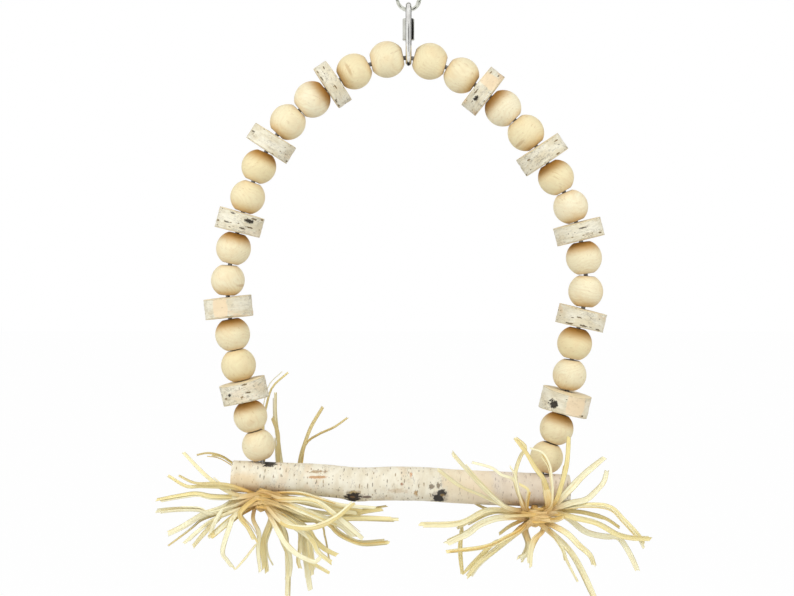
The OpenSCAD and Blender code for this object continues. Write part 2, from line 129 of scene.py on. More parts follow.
def smoothBelow(piece, degrees):
    pick(piece)
    bpy.ops.object.shade_smooth_by_angle(angle=math.radians(degrees))


def writeVectors(mesh, name, values):
    layer = mesh.attributes.new(name, "FLOAT_VECTOR", "POINT")
    layer.data.foreach_set("vector", [part for value in values for part in value])


def writeNumbers(mesh, name, values):
    layer = mesh.attributes.new(name, "FLOAT", "POINT")
    layer.data.foreach_set("value", list(values))


def writeSame(mesh, name, value):
    write = writeNumbers if isinstance(value, float) else writeVectors
    write(mesh, name, [value] * len(mesh.vertices))


def dropPattern(piece):
    mesh = piece.data
    bpy.data.objects.remove(piece)
    bpy.data.meshes.remove(mesh)


# Node helpers: a plain value is set on a socket, another socket is joined to it

def colourOf(code):
    parts = [int(code[i:i + 2], 16) / 255 for i in (0, 2, 4)]
    return tuple(p / 12.92 if p <= 0.04045 else ((p + 0.055) / 1.055) ** 2.4 for p in parts) + (1.0,)


def feed(tree, target, value):
    if isinstance(value, bpy.types.NodeSocket):
        tree.links.new(value, target)
    elif isinstance(value, str):
        target.default_value = colourOf(value)
    else:
        target.default_value = value


def calc(tree, operation, *values):
    sum_ = tree.nodes.new("ShaderNodeMath")
    sum_.operation = operation
    for target, value in zip(sum_.inputs, values):
        feed(tree, target, value)
    return sum_.outputs[0]


def vectorCalc(tree, operation, first, second=None):
    sum_ = tree.nodes.new("ShaderNodeVectorMath")
    sum_.operation = operation
    feed(tree, sum_.inputs[0], first)
    if second is not None:
        feed(tree, sum_.inputs["Scale" if operation == "SCALE" else 1], second)
    return sum_.outputs["Value" if operation == "LENGTH" else "Vector"]


def spread(tree, value, low, high, outLow=0.0, outHigh=1.0):
    ranged = tree.nodes.new("ShaderNodeMapRange")
    ranged.interpolation_type = "SMOOTHSTEP"
    for i, part in enumerate((value, low, high, outLow, outHigh)):
        feed(tree, ranged.inputs[i], part)
    return ranged.outputs[0]


def tint(tree, factor, under, over, strength=None):
    mixed = tree.nodes.new("ShaderNodeMix")
    mixed.data_type = "RGBA"
    if strength is not None:
        factor = calc(tree, "MULTIPLY", factor, strength)
    for i, part in ((0, factor), (6, under), (7, over)):
        feed(tree, mixed.inputs[i], part)
    return mixed.outputs[2]


def noiseOf(tree, vector, scale, detail=3.0, roughness=0.5):
    cloud = tree.nodes.new("ShaderNodeTexNoise")
    feed(tree, cloud.inputs["Vector"], vector)
    for name, value in (("Scale", scale), ("Detail", detail), ("Roughness", roughness)):
        cloud.inputs[name].default_value = value
    return cloud.outputs


def attributeOf(tree, name, output="Vector"):
    reader = tree.nodes.new("ShaderNodeAttribute")
    reader.attribute_name = name
    return reader.outputs[output]


def splitOf(tree, vector):
    parts = tree.nodes.new("ShaderNodeSeparateXYZ")
    feed(tree, parts.inputs[0], vector)
    return parts.outputs


def joinOf(tree, x, y, z):
    whole = tree.nodes.new("ShaderNodeCombineXYZ")
    for i, part in enumerate((x, y, z)):
        feed(tree, whole.inputs[i], part)
    return whole.outputs[0]


def newGroup(name, inputs, outputs):
    group = bpy.data.node_groups.new(name, "ShaderNodeTree")
    for inOut, sockets in (("INPUT", inputs), ("OUTPUT", outputs)):
        for socketName, kind in sockets.items():
            group.interface.new_socket(socketName, in_out=inOut, socket_type="NodeSocket" + kind)
    return group, group.nodes.new("NodeGroupInput").outputs, group.nodes.new("NodeGroupOutput").inputs


def useGroup(tree, group, **values):
    placed = tree.nodes.new("ShaderNodeGroup")
    placed.node_tree = group
    for name, value in values.items():
        feed(tree, placed.inputs[name], value)
    return placed.outputs


def newMaterial(name):
    material = bpy.data.materials.new(name)
    material.use_nodes = True
    return material, material.node_tree, material.node_tree.nodes["Principled BSDF"].inputs


def dress(tree, shader, colour, roughness, height, depth, strength):
    bump = tree.nodes.new("ShaderNodeBump")
    for target, value in ((shader["Base Color"], colour), (shader["Roughness"], roughness),
                          (bump.inputs["Strength"], strength), (bump.inputs["Distance"], depth),
                          (bump.inputs["Height"], height), (shader["Normal"], bump.outputs[0])):
        feed(tree, target, value)


# Growth rings round an X line through the place's zero, and the fibres that run along it
def makeWoodGrain():
    tree, given, put = newGroup("woodGrain", {"Place": "Vector", "Spacing": "Float", "Waver": "Float"},
                                {"Rings": "Float", "Fibres": "Float", "Height": "Float"})
    drift = vectorCalc(tree, "SUBTRACT", noiseOf(tree, given["Place"], 60.0, 2.0)[1], (0.5, 0.5, 0.5))
    place = vectorCalc(tree, "ADD", given["Place"], vectorCalc(tree, "SCALE", drift, given["Waver"]))
    away = vectorCalc(tree, "LENGTH", vectorCalc(tree, "MULTIPLY", place, (0.0, 1.0, 1.0)))
    turn = calc(tree, "MULTIPLY", calc(tree, "DIVIDE", away, given["Spacing"]), 2 * math.pi)
    wave = calc(tree, "MULTIPLY_ADD", calc(tree, "SINE", turn), 0.5, 0.5)
    patchy = spread(tree, noiseOf(tree, place, 110.0, 2.0)[0], 0.35, 0.65, 0.25, 1.0)
    rings = calc(tree, "MULTIPLY", calc(tree, "POWER", wave, 2.4), patchy)
    stretched = vectorCalc(tree, "MULTIPLY", place, (0.07, 1.0, 1.0))
    fibres = spread(tree, noiseOf(tree, stretched, 1500.0, 4.0, 0.6)[0], 0.3, 0.7)
    feed(tree, put["Rings"], rings)
    feed(tree, put["Fibres"], fibres)
    feed(tree, put["Height"], calc(tree, "MULTIPLY_ADD", fibres, 0.7, rings))
    return tree


# Birch bark on a branch along Z whose front is X: chalky skin, peeled patches, cracks and short dashes
def makeBirchBark():
    tree, given, put = newGroup("birchBark", {"Place": "Vector", "Radius": "Float", "Size": "Float",
                                              "Warmth": "Float", "Marks": "Float", "Grime": "Float",
                                              "Grey": "Float"},
                                {"Colour": "Color", "Roughness": "Float", "Height": "Float"})
    banded = vectorCalc(tree, "MULTIPLY", given["Place"], (1.0, 1.0, 2.2))
    skin = tint(tree, spread(tree, noiseOf(tree, banded, 95.0, 5.0, 0.62)[0], 0.38, 0.64), "ECE4CC", "DDD0B0")
    bands = vectorCalc(tree, "MULTIPLY", given["Place"], (1.0, 1.0, 5.0))
    greyed = spread(tree, noiseOf(tree, bands, 190.0, 6.0, 0.7)[0], 0.46, 0.72)
    skin = tint(tree, greyed, skin, "B3A88A", given["Grey"])
    peeled = spread(tree, noiseOf(tree, banded, 48.0, 5.0, 0.55)[0], 0.56, 0.62)
    skin = tint(tree, peeled, skin, "E9C79C", given["Warmth"])
    grime = spread(tree, noiseOf(tree, banded, 420.0, 5.0, 0.7)[0], 0.52, 0.68)
    skin = tint(tree, grime, skin, "86795F", given["Grime"])
    near = calc(tree, "ABSOLUTE", calc(tree, "SUBTRACT", noiseOf(tree, banded, 230.0, 3.0, 0.6)[0], 0.5))
    patch = spread(tree, noiseOf(tree, given["Place"], 105.0, 2.0)[0], 0.52, 0.6)
    crack = calc(tree, "MULTIPLY", spread(tree, near, 0.006, 0.02, 1.0, 0.0), patch)
    skin = tint(tree, crack, skin, "7C6654", 0.6)
    x, y, z = splitOf(tree, given["Place"])
    arc = calc(tree, "MULTIPLY", calc(tree, "ARCTAN2", y, x), given["Radius"])
    fray = calc(tree, "SUBTRACT", noiseOf(tree, given["Place"], 1400.0, 2.0)[0], 0.5)
    marks = crack
    # cells in each metre round and along, least half length, its growth, half thickness, share with a dash
    for around, level, short, grow, thick, share in ((205.0, 250.0, 0.12, 0.2, 0.085, 0.72),
                                                     (430.0, 500.0, 0.08, 0.16, 0.1, 0.42)):
        spot = joinOf(tree, *(calc(tree, "DIVIDE", calc(tree, "MULTIPLY", part, rate), given["Size"])
                              for part, rate in ((arc, around), (z, level))), 0.0)
        cells = tree.nodes.new("ShaderNodeTexVoronoi")
        cells.voronoi_dimensions = "2D"
        feed(tree, cells.inputs["Vector"], spot)
        cells.inputs["Scale"].default_value = 1.0
        chance = splitOf(tree, cells.outputs["Color"])
        offX, offY, _ = splitOf(tree, vectorCalc(tree, "SUBTRACT", spot, cells.outputs["Position"]))
        length = calc(tree, "MULTIPLY_ADD", chance[0], grow, short)
        reach = vectorCalc(tree, "LENGTH", joinOf(tree, calc(tree, "DIVIDE", offX, length),
                                                  calc(tree, "DIVIDE", offY, thick), 0.0))
        reach = calc(tree, "MULTIPLY_ADD", fray, 1.4, reach)
        there = calc(tree, "LESS_THAN", chance[1], calc(tree, "MULTIPLY", given["Marks"], share))
        dash = calc(tree, "MULTIPLY", spread(tree, reach, 0.7, 1.15, 1.0, 0.0), there)
        dashColour = tint(tree, given["Grey"], tint(tree, chance[2], "A07A2C", "4C3A1C"), "2A271D")
        skin = tint(tree, dash, skin, dashColour, 0.9)
        marks = calc(tree, "MAXIMUM", marks, dash)
    feed(tree, put["Colour"], skin)
    feed(tree, put["Roughness"], spread(tree, noiseOf(tree, banded, 300.0)[0], 0.3, 0.7, 0.55, 0.8))
    relief = noiseOf(tree, bands, 260.0, 5.0, 0.6)[0]
    relief = calc(tree, "SUBTRACT", relief, calc(tree, "MULTIPLY", marks, 0.8))
    feed(tree, put["Height"], calc(tree, "SUBTRACT", relief, calc(tree, "MULTIPLY", peeled, 0.6)))
    return tree


# One mark at its own place: an ellipse, or a box as Square nears 1, with a broken edge
def makeOwnMark():
    tree, given, put = newGroup("ownMark", {"Place": "Vector", "Centre": "Vector", "Reach": "Vector",
                                            "Square": "Float", "Ragged": "Float", "Soft": "Float"},
                                {"Mask": "Float"})
    off = vectorCalc(tree, "SUBTRACT", given["Place"], given["Centre"])
    off = vectorCalc(tree, "DIVIDE", off, given["Reach"])
    x, y, z = splitOf(tree, vectorCalc(tree, "ABSOLUTE", off))
    oval = vectorCalc(tree, "LENGTH", off)
    apart = calc(tree, "SUBTRACT", calc(tree, "MAXIMUM", calc(tree, "MAXIMUM", x, y), z), oval)
    reach = calc(tree, "MULTIPLY_ADD", apart, given["Square"], oval)
    coarse = noiseOf(tree, given["Place"], 420.0, 6.0, 0.68)[0]
    small = noiseOf(tree, vectorCalc(tree, "ADD", off, given["Centre"]), 2.6, 4.0, 0.6)[0]
    broken = calc(tree, "MULTIPLY_ADD", calc(tree, "ADD", coarse, small), 0.5, -0.5)
    reach = calc(tree, "MULTIPLY_ADD", broken, given["Ragged"], reach)
    edge = 1.05
    feed(tree, put["Mask"], spread(tree, reach, calc(tree, "SUBTRACT", edge, given["Soft"]), edge, 1.0, 0.0))
    return tree


# Handling marks on plated steel: a little dullness in patches, and fine rub lines
def makeHandledSteel():
    tree, given, put = newGroup("handledSteel", {"Place": "Vector", "Dullness": "Float"},
                                {"Roughness": "Float", "Tone": "Float", "Height": "Float"})
    patches = spread(tree, noiseOf(tree, given["Place"], 320.0, 4.0, 0.6)[0], 0.35, 0.7)
    lines = noiseOf(tree, vectorCalc(tree, "MULTIPLY", given["Place"], (1.0, 1.0, 0.1)), 2600.0, 3.0)[0]
    rough = calc(tree, "MULTIPLY_ADD", calc(tree, "ADD", patches, lines), given["Dullness"], 0.03)
    feed(tree, put["Roughness"], rough)
    feed(tree, put["Tone"], patches)
    feed(tree, put["Height"], lines)
    return tree


woodGrain = makeWoodGrain()
birchBark = makeBirchBark()
ownMark = makeOwnMark()
handledSteel = makeHandledSteel()
print("shared effects made")


# Places and sizes of what is strung on the wire, from the frame

def strungPiece(name):
    spin = next(joint for joint in frame["joints"] if joint["name"] == name + "_spin")
    centre, axis = Vector(spin["pos_m"]), Vector(spin["axis"]).normalized()
    radius = reach = 0.0
    for vertex in frame["nodes"][name].data.vertices:
        off = vertex.co - centre
        level = off.dot(axis)
        reach = max(reach, abs(level))
        radius = max(radius, (off - level * axis).length)
    return centre, axis, radius, reach


def turnTo(axis):
    return axis.to_track_quat("Z", "Y").to_matrix()


def placeOn(mesh, centre, axis, roll, size):
    turn = turnTo(axis).to_4x4() @ Matrix.Rotation(roll, 4, "Z")
    mesh.transform(Matrix.Translation(centre) @ turn @ Matrix.Diagonal((*size, 1.0)))


def frontTurn(axis):
    # the turn that brings a piece's X to the front, once its Z lies along the axis
    front = turnTo(axis).inverted() @ toViewer
    return math.atan2(front.y, front.x)


def addPiece(name, mesh, *materials):
    piece = bpy.data.objects.new(name, mesh)
    bpy.context.collection.objects.link(piece)
    mesh.materials.clear()
    for material in materials:
        mesh.materials.append(material)
    return piece


def standFor(piece, body, slot, *nodes):
    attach(piece, body)
    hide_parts(*nodes)


# Beads: a sphere cut flat at both ends, bored, its rims softened

beadLook = {
    "diameter": 19.8 * mm, "flat": 9.0 * mm, "bore": 5.0 * mm, "rim": 0.3 * mm, "rounds": 64, "rings": 40,
    "spacing": 2.3 * mm, "waver": 16 * mm, "pithAway": (20 * mm, 60 * mm), "shadeBelow": 0.42,
    # beads with a brown streak, and how far it lies from the front in degrees
    "streaks": {"left_bead_2": 8, "right_bead_4": 50, "left_bead_8": -70, "right_bead_9": 130},
    "streakReach": (5.5 * mm, 5.5 * mm, 1.1 * mm), "streakRise": 0.25,
    # metres away, where the streak of any other bead stays out of sight
    "noStreak": 9,
}


def makeBeadWood():
    material, tree, shader = newMaterial("paleTurnedWood")
    place, inWood = attributeOf(tree, "place"), attributeOf(tree, "grain")
    radius = beadLook["diameter"] / 2
    grain = useGroup(tree, woodGrain, Place=inWood, Spacing=beadLook["spacing"], Waver=beadLook["waver"])
    wood = tint(tree, attributeOf(tree, "tone", "Fac"), "F2E8C6", "EADAA9")
    blotch = spread(tree, noiseOf(tree, inWood, 120.0, 4.0)[0], 0.45, 0.7, 0.0, 0.4)
    wood = tint(tree, blotch, wood, "E8CC9C")
    wood = tint(tree, grain["Rings"], wood, "D8B680", 0.22)
    wood = tint(tree, grain["Fibres"], wood, "DCC294", 0.28)
    flecks = noiseOf(tree, vectorCalc(tree, "MULTIPLY", inWood, (0.25, 1.0, 1.0)), 900.0, 3.0)[0]
    wood = tint(tree, spread(tree, flecks, 0.6, 0.72, 0.0, 0.3), wood, "B88F58")
    x, y, z = splitOf(tree, place)
    level = calc(tree, "DIVIDE", calc(tree, "ABSOLUTE", z), radius)
    # painted shade: warmer and darker toward both flat ends, where neighbours shade the bead and light bounces
    # between them
    wood = tint(tree, spread(tree, level, 0.55, 0.88, 0.0, 0.34), wood, "D3A768")
    # painted shade: a deeper golden brown on the end that a slice or the perch shades, weighted by the shaded
    # attribute
    toSlice = calc(tree, "DIVIDE", calc(tree, "MULTIPLY", z, attributeOf(tree, "shaded", "Fac")), radius)
    wood = tint(tree, spread(tree, toSlice, 0.05, 0.82, 0.0, 0.92), wood, "B8822E")
    # painted contact shadow: a thin dark brown ring at the rims of the flats, where the beads meet
    wood = tint(tree, spread(tree, level, 0.86, 0.892, 0.0, 0.8), wood, "4E2E18")
    streak = useGroup(tree, ownMark, Place=place, Centre=attributeOf(tree, "streak"), Square=0.1, Ragged=0.9,
                      Soft=0.6, Reach=beadLook["streakReach"])["Mask"]
    wood = tint(tree, streak, wood, "B07F42", 0.4)
    # painted shade in the bore and round its mouth on the flats
    away = vectorCalc(tree, "LENGTH", joinOf(tree, x, y, 0.0))
    wood = tint(tree, spread(tree, away, 2.4 * mm, 3.6 * mm, 0.75, 0.0), wood, "5E3F24")
    dress(tree, shader, wood, spread(tree, grain["Fibres"], 0.0, 1.0, 0.48, 0.62), grain["Height"],
          0.05 * mm, 0.6)
    return material


def makeBeadPattern():
    radius, flatR, boreR = (beadLook[part] / 2 for part in ("diameter", "flat", "bore"))
    end = math.sqrt(radius ** 2 - flatR ** 2)
    clearSelection()
    bpy.ops.mesh.primitive_uv_sphere_add(segments=beadLook["rounds"], ring_count=beadLook["rings"],
                                         radius=radius)
    bead = bpy.context.object
    startEdit(bead)
    for side in (1, -1):
        bpy.ops.mesh.select_all(action="SELECT")
        bpy.ops.mesh.bisect(plane_co=(0, 0, side * end), plane_no=(0, 0, side), use_fill=True, clear_outer=True)
    atEnd = lambda spot: abs(abs(spot.z) - end) < hair
    selectWhere(bead, "FACE", lambda face: isEnd(face) and atEnd(face.calc_center_median()))
    bpy.ops.mesh.inset(thickness=flatR - boreR)
    bpy.ops.mesh.bridge_edge_loops()
    selectWhere(bead, "EDGE", lambda edge: all(atEnd(v.co) for v in edge.verts) and widening(edge) <= 0.5 * mm)
    bpy.ops.mesh.bevel(offset=beadLook["rim"], segments=3, affect="EDGES")
    turnOutward(bead)
    smoothBelow(bead, 50)
    return bead


beadWood = makeBeadWood()
beadPattern = makeBeadPattern()
for sideNo, side in enumerate(sides):
    for number in range(1, 13):
        chance = random.Random(100 * sideNo + number)
        name = f"{side}_bead_{number}"
        centre, axis, radius, _ = strungPiece(name)
        mesh = beadPattern.data.copy()
        lookTurn = Matrix.Rotation(chance.uniform(0, fullTurn), 3, "Z") @ Matrix.Rotation(
            chance.uniform(0.3, 1.4), 3, "Y") @ Matrix.Rotation(chance.uniform(0, fullTurn), 3, "X")
        pith = Vector((chance.uniform(-0.2, 0.2), chance.uniform(*beadLook["pithAway"]), 0))
        writeVectors(mesh, "place", [v.co for v in mesh.vertices])
        writeVectors(mesh, "grain", [lookTurn @ v.co + pith for v in mesh.vertices])
        writeSame(mesh, "tone", chance.random())
        roll = chance.uniform(0, fullTurn)
        # the end that a slice or the perch shades, most where the slice is above the bead
        beside = f"{side}_slice_{number // 2}" if number < 12 else f"{side}_bead_11"
        toward = axis.dot(strungPiece(beside)[0] - centre) if number > 1 else 0
        shaded = math.copysign(1, toward) * (-1 if number == 12 else 1) if toward else 0
        writeSame(mesh, "shaded", shaded * (1.0 if number % 2 else beadLook["shadeBelow"]))
        away = math.radians(beadLook["streaks"].get(name, 0))
        turned = frontTurn(axis) - roll + away
        streak = Vector((math.cos(turned), math.sin(turned), beadLook["streakRise"]))
        writeSame(mesh, "streak", streak * (beadLook["diameter"] / 2 if away else beadLook["noStreak"]))
        share = radius / (beadLook["diameter"] / 2)
        placeOn(mesh, centre, axis, roll, (share, share, share))
        standFor(addPiece(f"{side}Bead{number}", mesh, beadWood), name, "bead_wood", name)
dropPattern(beadPattern)
print("beads made")


# Slices: sawn from a branch, bored, the bark a little uneven and the saw cuts not quite square

sliceLook = {
    "diameter": 27 * mm, "thick": 11.3 * mm, "bore": 4.6 * mm, "bark": 0.9 * mm, "rim": 0.22 * mm,
    "rounds": 120, "cuts": 14, "insets": (2.6 * mm, 3.4 * mm), "barkSize": 1.55, "barkGrey": 0.42,
    "bumps": 0.22 * mm, "oval": 0.012, "cutTilt": 0.02, "tiltFrom": 4.5 * mm, "slopeFrom": 5 * mm,
    # how much the front of each face slopes back, at its lower and its higher end
    "slopes": {"left": ((0, 0.03), (0.1, 0.02), (0.03, 0.05), (0.02, 0.1), (0.06, 0.04)),
               "right": ((0.03, 0.05), (0.08, 0), (0.04, 0.07), (0.05, 0.05), (0.09, 0.03))},
    # each slice's warmth, marks and grime
    "looks": {"left": ((0.3, 0.6, 0.4), (0.2, 0.6, 0.25), (0.2, 0.6, 0.3), (0.5, 0.3, 0.3), (0.2, 0.6, 0.8)),
              "right": ((0.6, 0.5, 0.4), (0.3, 0.5, 0.5), (0.3, 0.6, 0.4), (0.4, 0.6, 0.3), (0.2, 0.3, 0.15))},
    # dark knots and peeled patches on the front, from the slice's middle: across, up, half width, half height
    "knot": {"right_slice_5": (-7.7, 0.2, 2.3, 2.7), "right_slice_1": (-4.6, -5.2, 1.8, 1.4),
             "left_slice_3": (6.6, 0.6, 2.7, 1.3), "left_slice_5": (-7.4, -1.6, 1.3, 0.9)},
    "patch": {"right_slice_5": (4.4, 0.4, 5.4, 7.5), "right_slice_1": (3.4, 3.6, 4.4, 7.5),
              "left_slice_4": (-3, 0, 4.5, 7)},
    # half depth of these, and a place too high to show for the slices without one
    "markDepth": 12, "noMark": (0, 999, 1, 1),
}


def makeSliceBark():
    material, tree, shader = newMaterial("whiteBirchBark")
    place = attributeOf(tree, "place")
    warmth, marks, grime = splitOf(tree, attributeOf(tree, "look"))
    bark = useGroup(tree, birchBark, Place=place, Radius=sliceLook["diameter"] / 2, Size=sliceLook["barkSize"],
                    Warmth=warmth, Marks=marks, Grime=grime, Grey=sliceLook["barkGrey"])
    skin = bark["Colour"]
    for kind, colour, strength, square, ragged, soft in (("patch", "EFD5AC", 0.8, 0.6, 0.5, 0.2),
                                                         ("knot", "96865F", 0.7, 0.1, 2.2, 0.5),
                                                         ("knot", "231C14", 0.96, 0.1, 4.2, 0.3)):
        mask = useGroup(tree, ownMark, Place=place, Centre=attributeOf(tree, kind), Square=square,
                        Reach=attributeOf(tree, kind + "Reach"), Ragged=ragged, Soft=soft)["Mask"]
        skin = tint(tree, mask, skin, colour, strength)
    rim = attributeOf(tree, "rim", "Fac")
    # darker band along each rim: partly the bark's own edge, partly painted shade in the gap against the
    # neighbouring bead
    torn = calc(tree, "SUBTRACT", noiseOf(tree, place, 700.0, 3.0)[0], 0.5)
    reach = calc(tree, "MULTIPLY_ADD", torn, 1.2, rim)
    skin = tint(tree, spread(tree, reach, 0.3, 0.75, 0.4, 0.0), skin, "8A7A4C")
    # painted highlight: a pale cream line along the very rim of the bark
    skin = tint(tree, spread(tree, rim, 0.1, 0.4, 0.75, 0.0), skin, "F0DDB4")
    dress(tree, shader, skin, bark["Roughness"], bark["Height"], 0.14 * mm, 0.7)
    return material


def makeSawnBirch():
    material, tree, shader = newMaterial("sawnBirchFace")
    place = attributeOf(tree, "place")
    x, y, z = splitOf(tree, place)
    grain = useGroup(tree, woodGrain, Place=joinOf(tree, z, x, y), Spacing=1.7 * mm, Waver=4 * mm)
    wood = tint(tree, grain["Rings"], "F0DDB4", "CBA36C", 0.4)
    stripes = noiseOf(tree, vectorCalc(tree, "MULTIPLY", place, (1.0, 0.06, 0.06)), 1300.0, 3.0)[0]
    wood = tint(tree, spread(tree, stripes, 0.45, 0.7, 0.0, 0.35), wood, "B98E5C")
    reach = attributeOf(tree, "reach", "Fac")
    wood = tint(tree, spread(tree, reach, 0.15, 0.34, 0.5, 0.0), wood, "8E6238")
    line = calc(tree, "ABSOLUTE", calc(tree, "SUBTRACT", reach, 0.925))
    wood = tint(tree, spread(tree, line, 0.004, 0.02, 0.6, 0.0), wood, "8A673F")
    dress(tree, shader, wood, spread(tree, stripes, 0.3, 0.7, 0.62, 0.8),
          calc(tree, "ADD", stripes, grain["Height"]), 0.06 * mm, 0.7)
    return material


def makeSlicePattern():
    radius, half, boreR = (sliceLook[part] / 2 for part in ("diameter", "thick", "bore"))
    bark, insets = sliceLook["bark"], sliceLook["insets"]
    slice_ = makeRod(sliceLook["rounds"], radius, 2 * half, sliceLook["cuts"],
                     (bark, *insets, radius - boreR - bark - sum(insets)))
    bpy.ops.mesh.bridge_edge_loops()
    atRim = lambda v: abs(abs(v.co.z) - half) < hair and (
        v.co.xy.length > radius - close or v.co.xy.length < boreR + close)
    selectWhere(slice_, "EDGE", lambda edge: all(atRim(v) for v in edge.verts) and widening(edge) < close)
    bpy.ops.mesh.bevel(offset=sliceLook["rim"], segments=2, affect="EDGES")
    turnOutward(slice_)
    markSawn(slice_.data, radius - 1.02 * bark)
    return slice_


def roughenBark(mesh, seed, cutTilt, slopes):
    radius, half = sliceLook["diameter"] / 2, sliceLook["thick"] / 2
    bumps, oval = sliceLook["bumps"], sliceLook["oval"]
    for vertex in mesh.vertices:
        x, y, z = vertex.co
        out = vertex.co.xy.length
        angle = math.atan2(y, x)
        swell = oval * math.sin(2 * angle + seed) + 0.4 * oval * math.sin(3 * angle + 2 * seed)
        spot = Vector((x, y, 2.2 * z)) * 210 + Vector((seed * 7, seed, 0))
        swell += bumps / radius * noise.noise(spot) * (1 if out > 0.97 * radius else 0.3)
        swell += 0.5 * bumps / radius * noise.noise(spot * 3.1)
        swell *= max(0.0, out / radius - 0.5) * 2
        tilt = cutTilt * (x * math.cos(seed) + y * math.sin(seed)) * z / half
        slope = slopes[1 if z > 0 else 0] * max(0.0, x - sliceLook["slopeFrom"]) * z / half
        vertex.co = (x * (1 + swell), y * (1 + swell), z + (tilt if out > sliceLook["tiltFrom"] else 0) - slope)


sliceBark = makeSliceBark()
sawnBirch = makeSawnBirch()
slicePattern = makeSlicePattern()
for sideNo, side in enumerate(sides):
    for number in range(1, 6):
        chance = random.Random(500 + 100 * sideNo + number)
        name = f"{side}_slice_{number}"
        centre, axis, radius, reach = strungPiece(name)
        mesh = slicePattern.data.copy()
        half = sliceLook["thick"] / 2
        for _ in range(3):
            chance.random()        # passed over, so that each slice keeps its own cut
        writeNumbers(mesh, "rim", [max(0.0, half - abs(v.co.z)) / mm for v in mesh.vertices])
        writeNumbers(mesh, "reach", [v.co.xy.length / (sliceLook["diameter"] / 2) for v in mesh.vertices])
        writeSame(mesh, "look", sliceLook["looks"][side][number - 1])
        spots = [v.co.copy() for v in mesh.vertices]
        roughenBark(mesh, chance.uniform(0, fullTurn), sliceLook["cutTilt"] * chance.uniform(0.3, 1),
                    sliceLook["slopes"][side][number - 1])
        # the bark's pattern differs on each slice, the rings stay round its middle
        along = Vector((0, 0, chance.uniform(-0.4, 0.4)))
        writeVectors(mesh, "place", [spot + along for spot in spots])
        turn = turnTo(axis) @ Matrix.Rotation(frontTurn(axis), 3, "Z")
        for kind in ("knot", "patch"):
            across, up, wide, high = sliceLook[kind].get(name, sliceLook["noMark"])
            writeSame(mesh, kind, turn.inverted() @ Vector((across, -radius / mm, up)) * mm + along)
            writeSame(mesh, kind + "Reach", Vector((sliceLook["markDepth"], wide, high)) * mm)
        share = radius / (sliceLook["diameter"] / 2) / (1 + sliceLook["oval"])
        placeOn(mesh, centre, axis, frontTurn(axis), (share, share, reach / half))
        slice_ = addPiece(f"{side}Slice{number}", mesh, sliceBark, sawnBirch)
        smoothBelow(slice_, 45)
        standFor(slice_, name, "slice_birch", name)
dropPattern(slicePattern)
print("slices made")


# Perch: one branch, swelling a little to the right, with low knots and sawn ends, drilled twice

perchLook = {
    "start": Vector((-98.63, 0, -267.29)) * mm, "end": Vector((89.75, 0, -275.91)) * mm,
    "radius": 9.3 * mm, "rounds": 144, "steps": 300, "bark": 0.8 * mm, "insets": (3 * mm, 3 * mm),
    # rim: how far the sawn ends are rounded; drill: the bit's length in radii
    "rim": 0.45 * mm, "hole": 1.45 * mm, "drill": 2.6,
    "shares": ((0, 0.94), (0.3, 0.96), (0.52, 1.01), (0.7, 1.0), (1, 1.0)),
    "waves": 0.16 * mm, "grain": 0.07 * mm,
    # low bends: place along X, rise, width
    "bends": ((-27, -1.1, 13), (8, 0.4, 16)),
    # a foot's place in the perch and its heading
    "feet": ((-81.45, -268.08, 92, -1), (72.36, -275.12, 104, 1)),
    # knots: place on the front, reach along and across, height
    "knots": ((-30, -281, 12.0, 9.0, 3.0), (17.3, -278.2, 7.0, 5.0, 1.0), (-66, -266, 4, 3, 0.25)),
}


def perchRadius(share):
    table = perchLook["shares"]
    for (a, ra), (b, rb) in zip(table, table[1:]):
        if share <= b:
            part = (share - a) / (b - a)
            return perchLook["radius"] * (ra + (rb - ra) * part * part * (3 - 2 * part))
    return perchLook["radius"] * table[-1][1]


def makePerchBark():
    material, tree, shader = newMaterial("perchBirchBark")
    at = tree.nodes.new("ShaderNodeTexCoord").outputs["Object"]
    bark = useGroup(tree, birchBark, Place=attributeOf(tree, "place"), Radius=perchLook["radius"], Size=1.0,
                    Warmth=0.25, Marks=0.75, Grime=0.1, Grey=0.1)
    skin = tint(tree, 0.2, bark["Colour"], "F8EEDC")
    for centre, reach, colour, strength, square, ragged, soft in perchMarks:
        mask = useGroup(tree, ownMark, Place=at, Centre=[part * mm for part in centre],
                        Reach=[part * mm for part in reach], Square=square, Ragged=ragged, Soft=soft)["Mask"]
        skin = tint(tree, mask, skin, colour, strength)
    dress(tree, shader, skin, bark["Roughness"], bark["Height"], 0.1 * mm, 0.6)
    return material


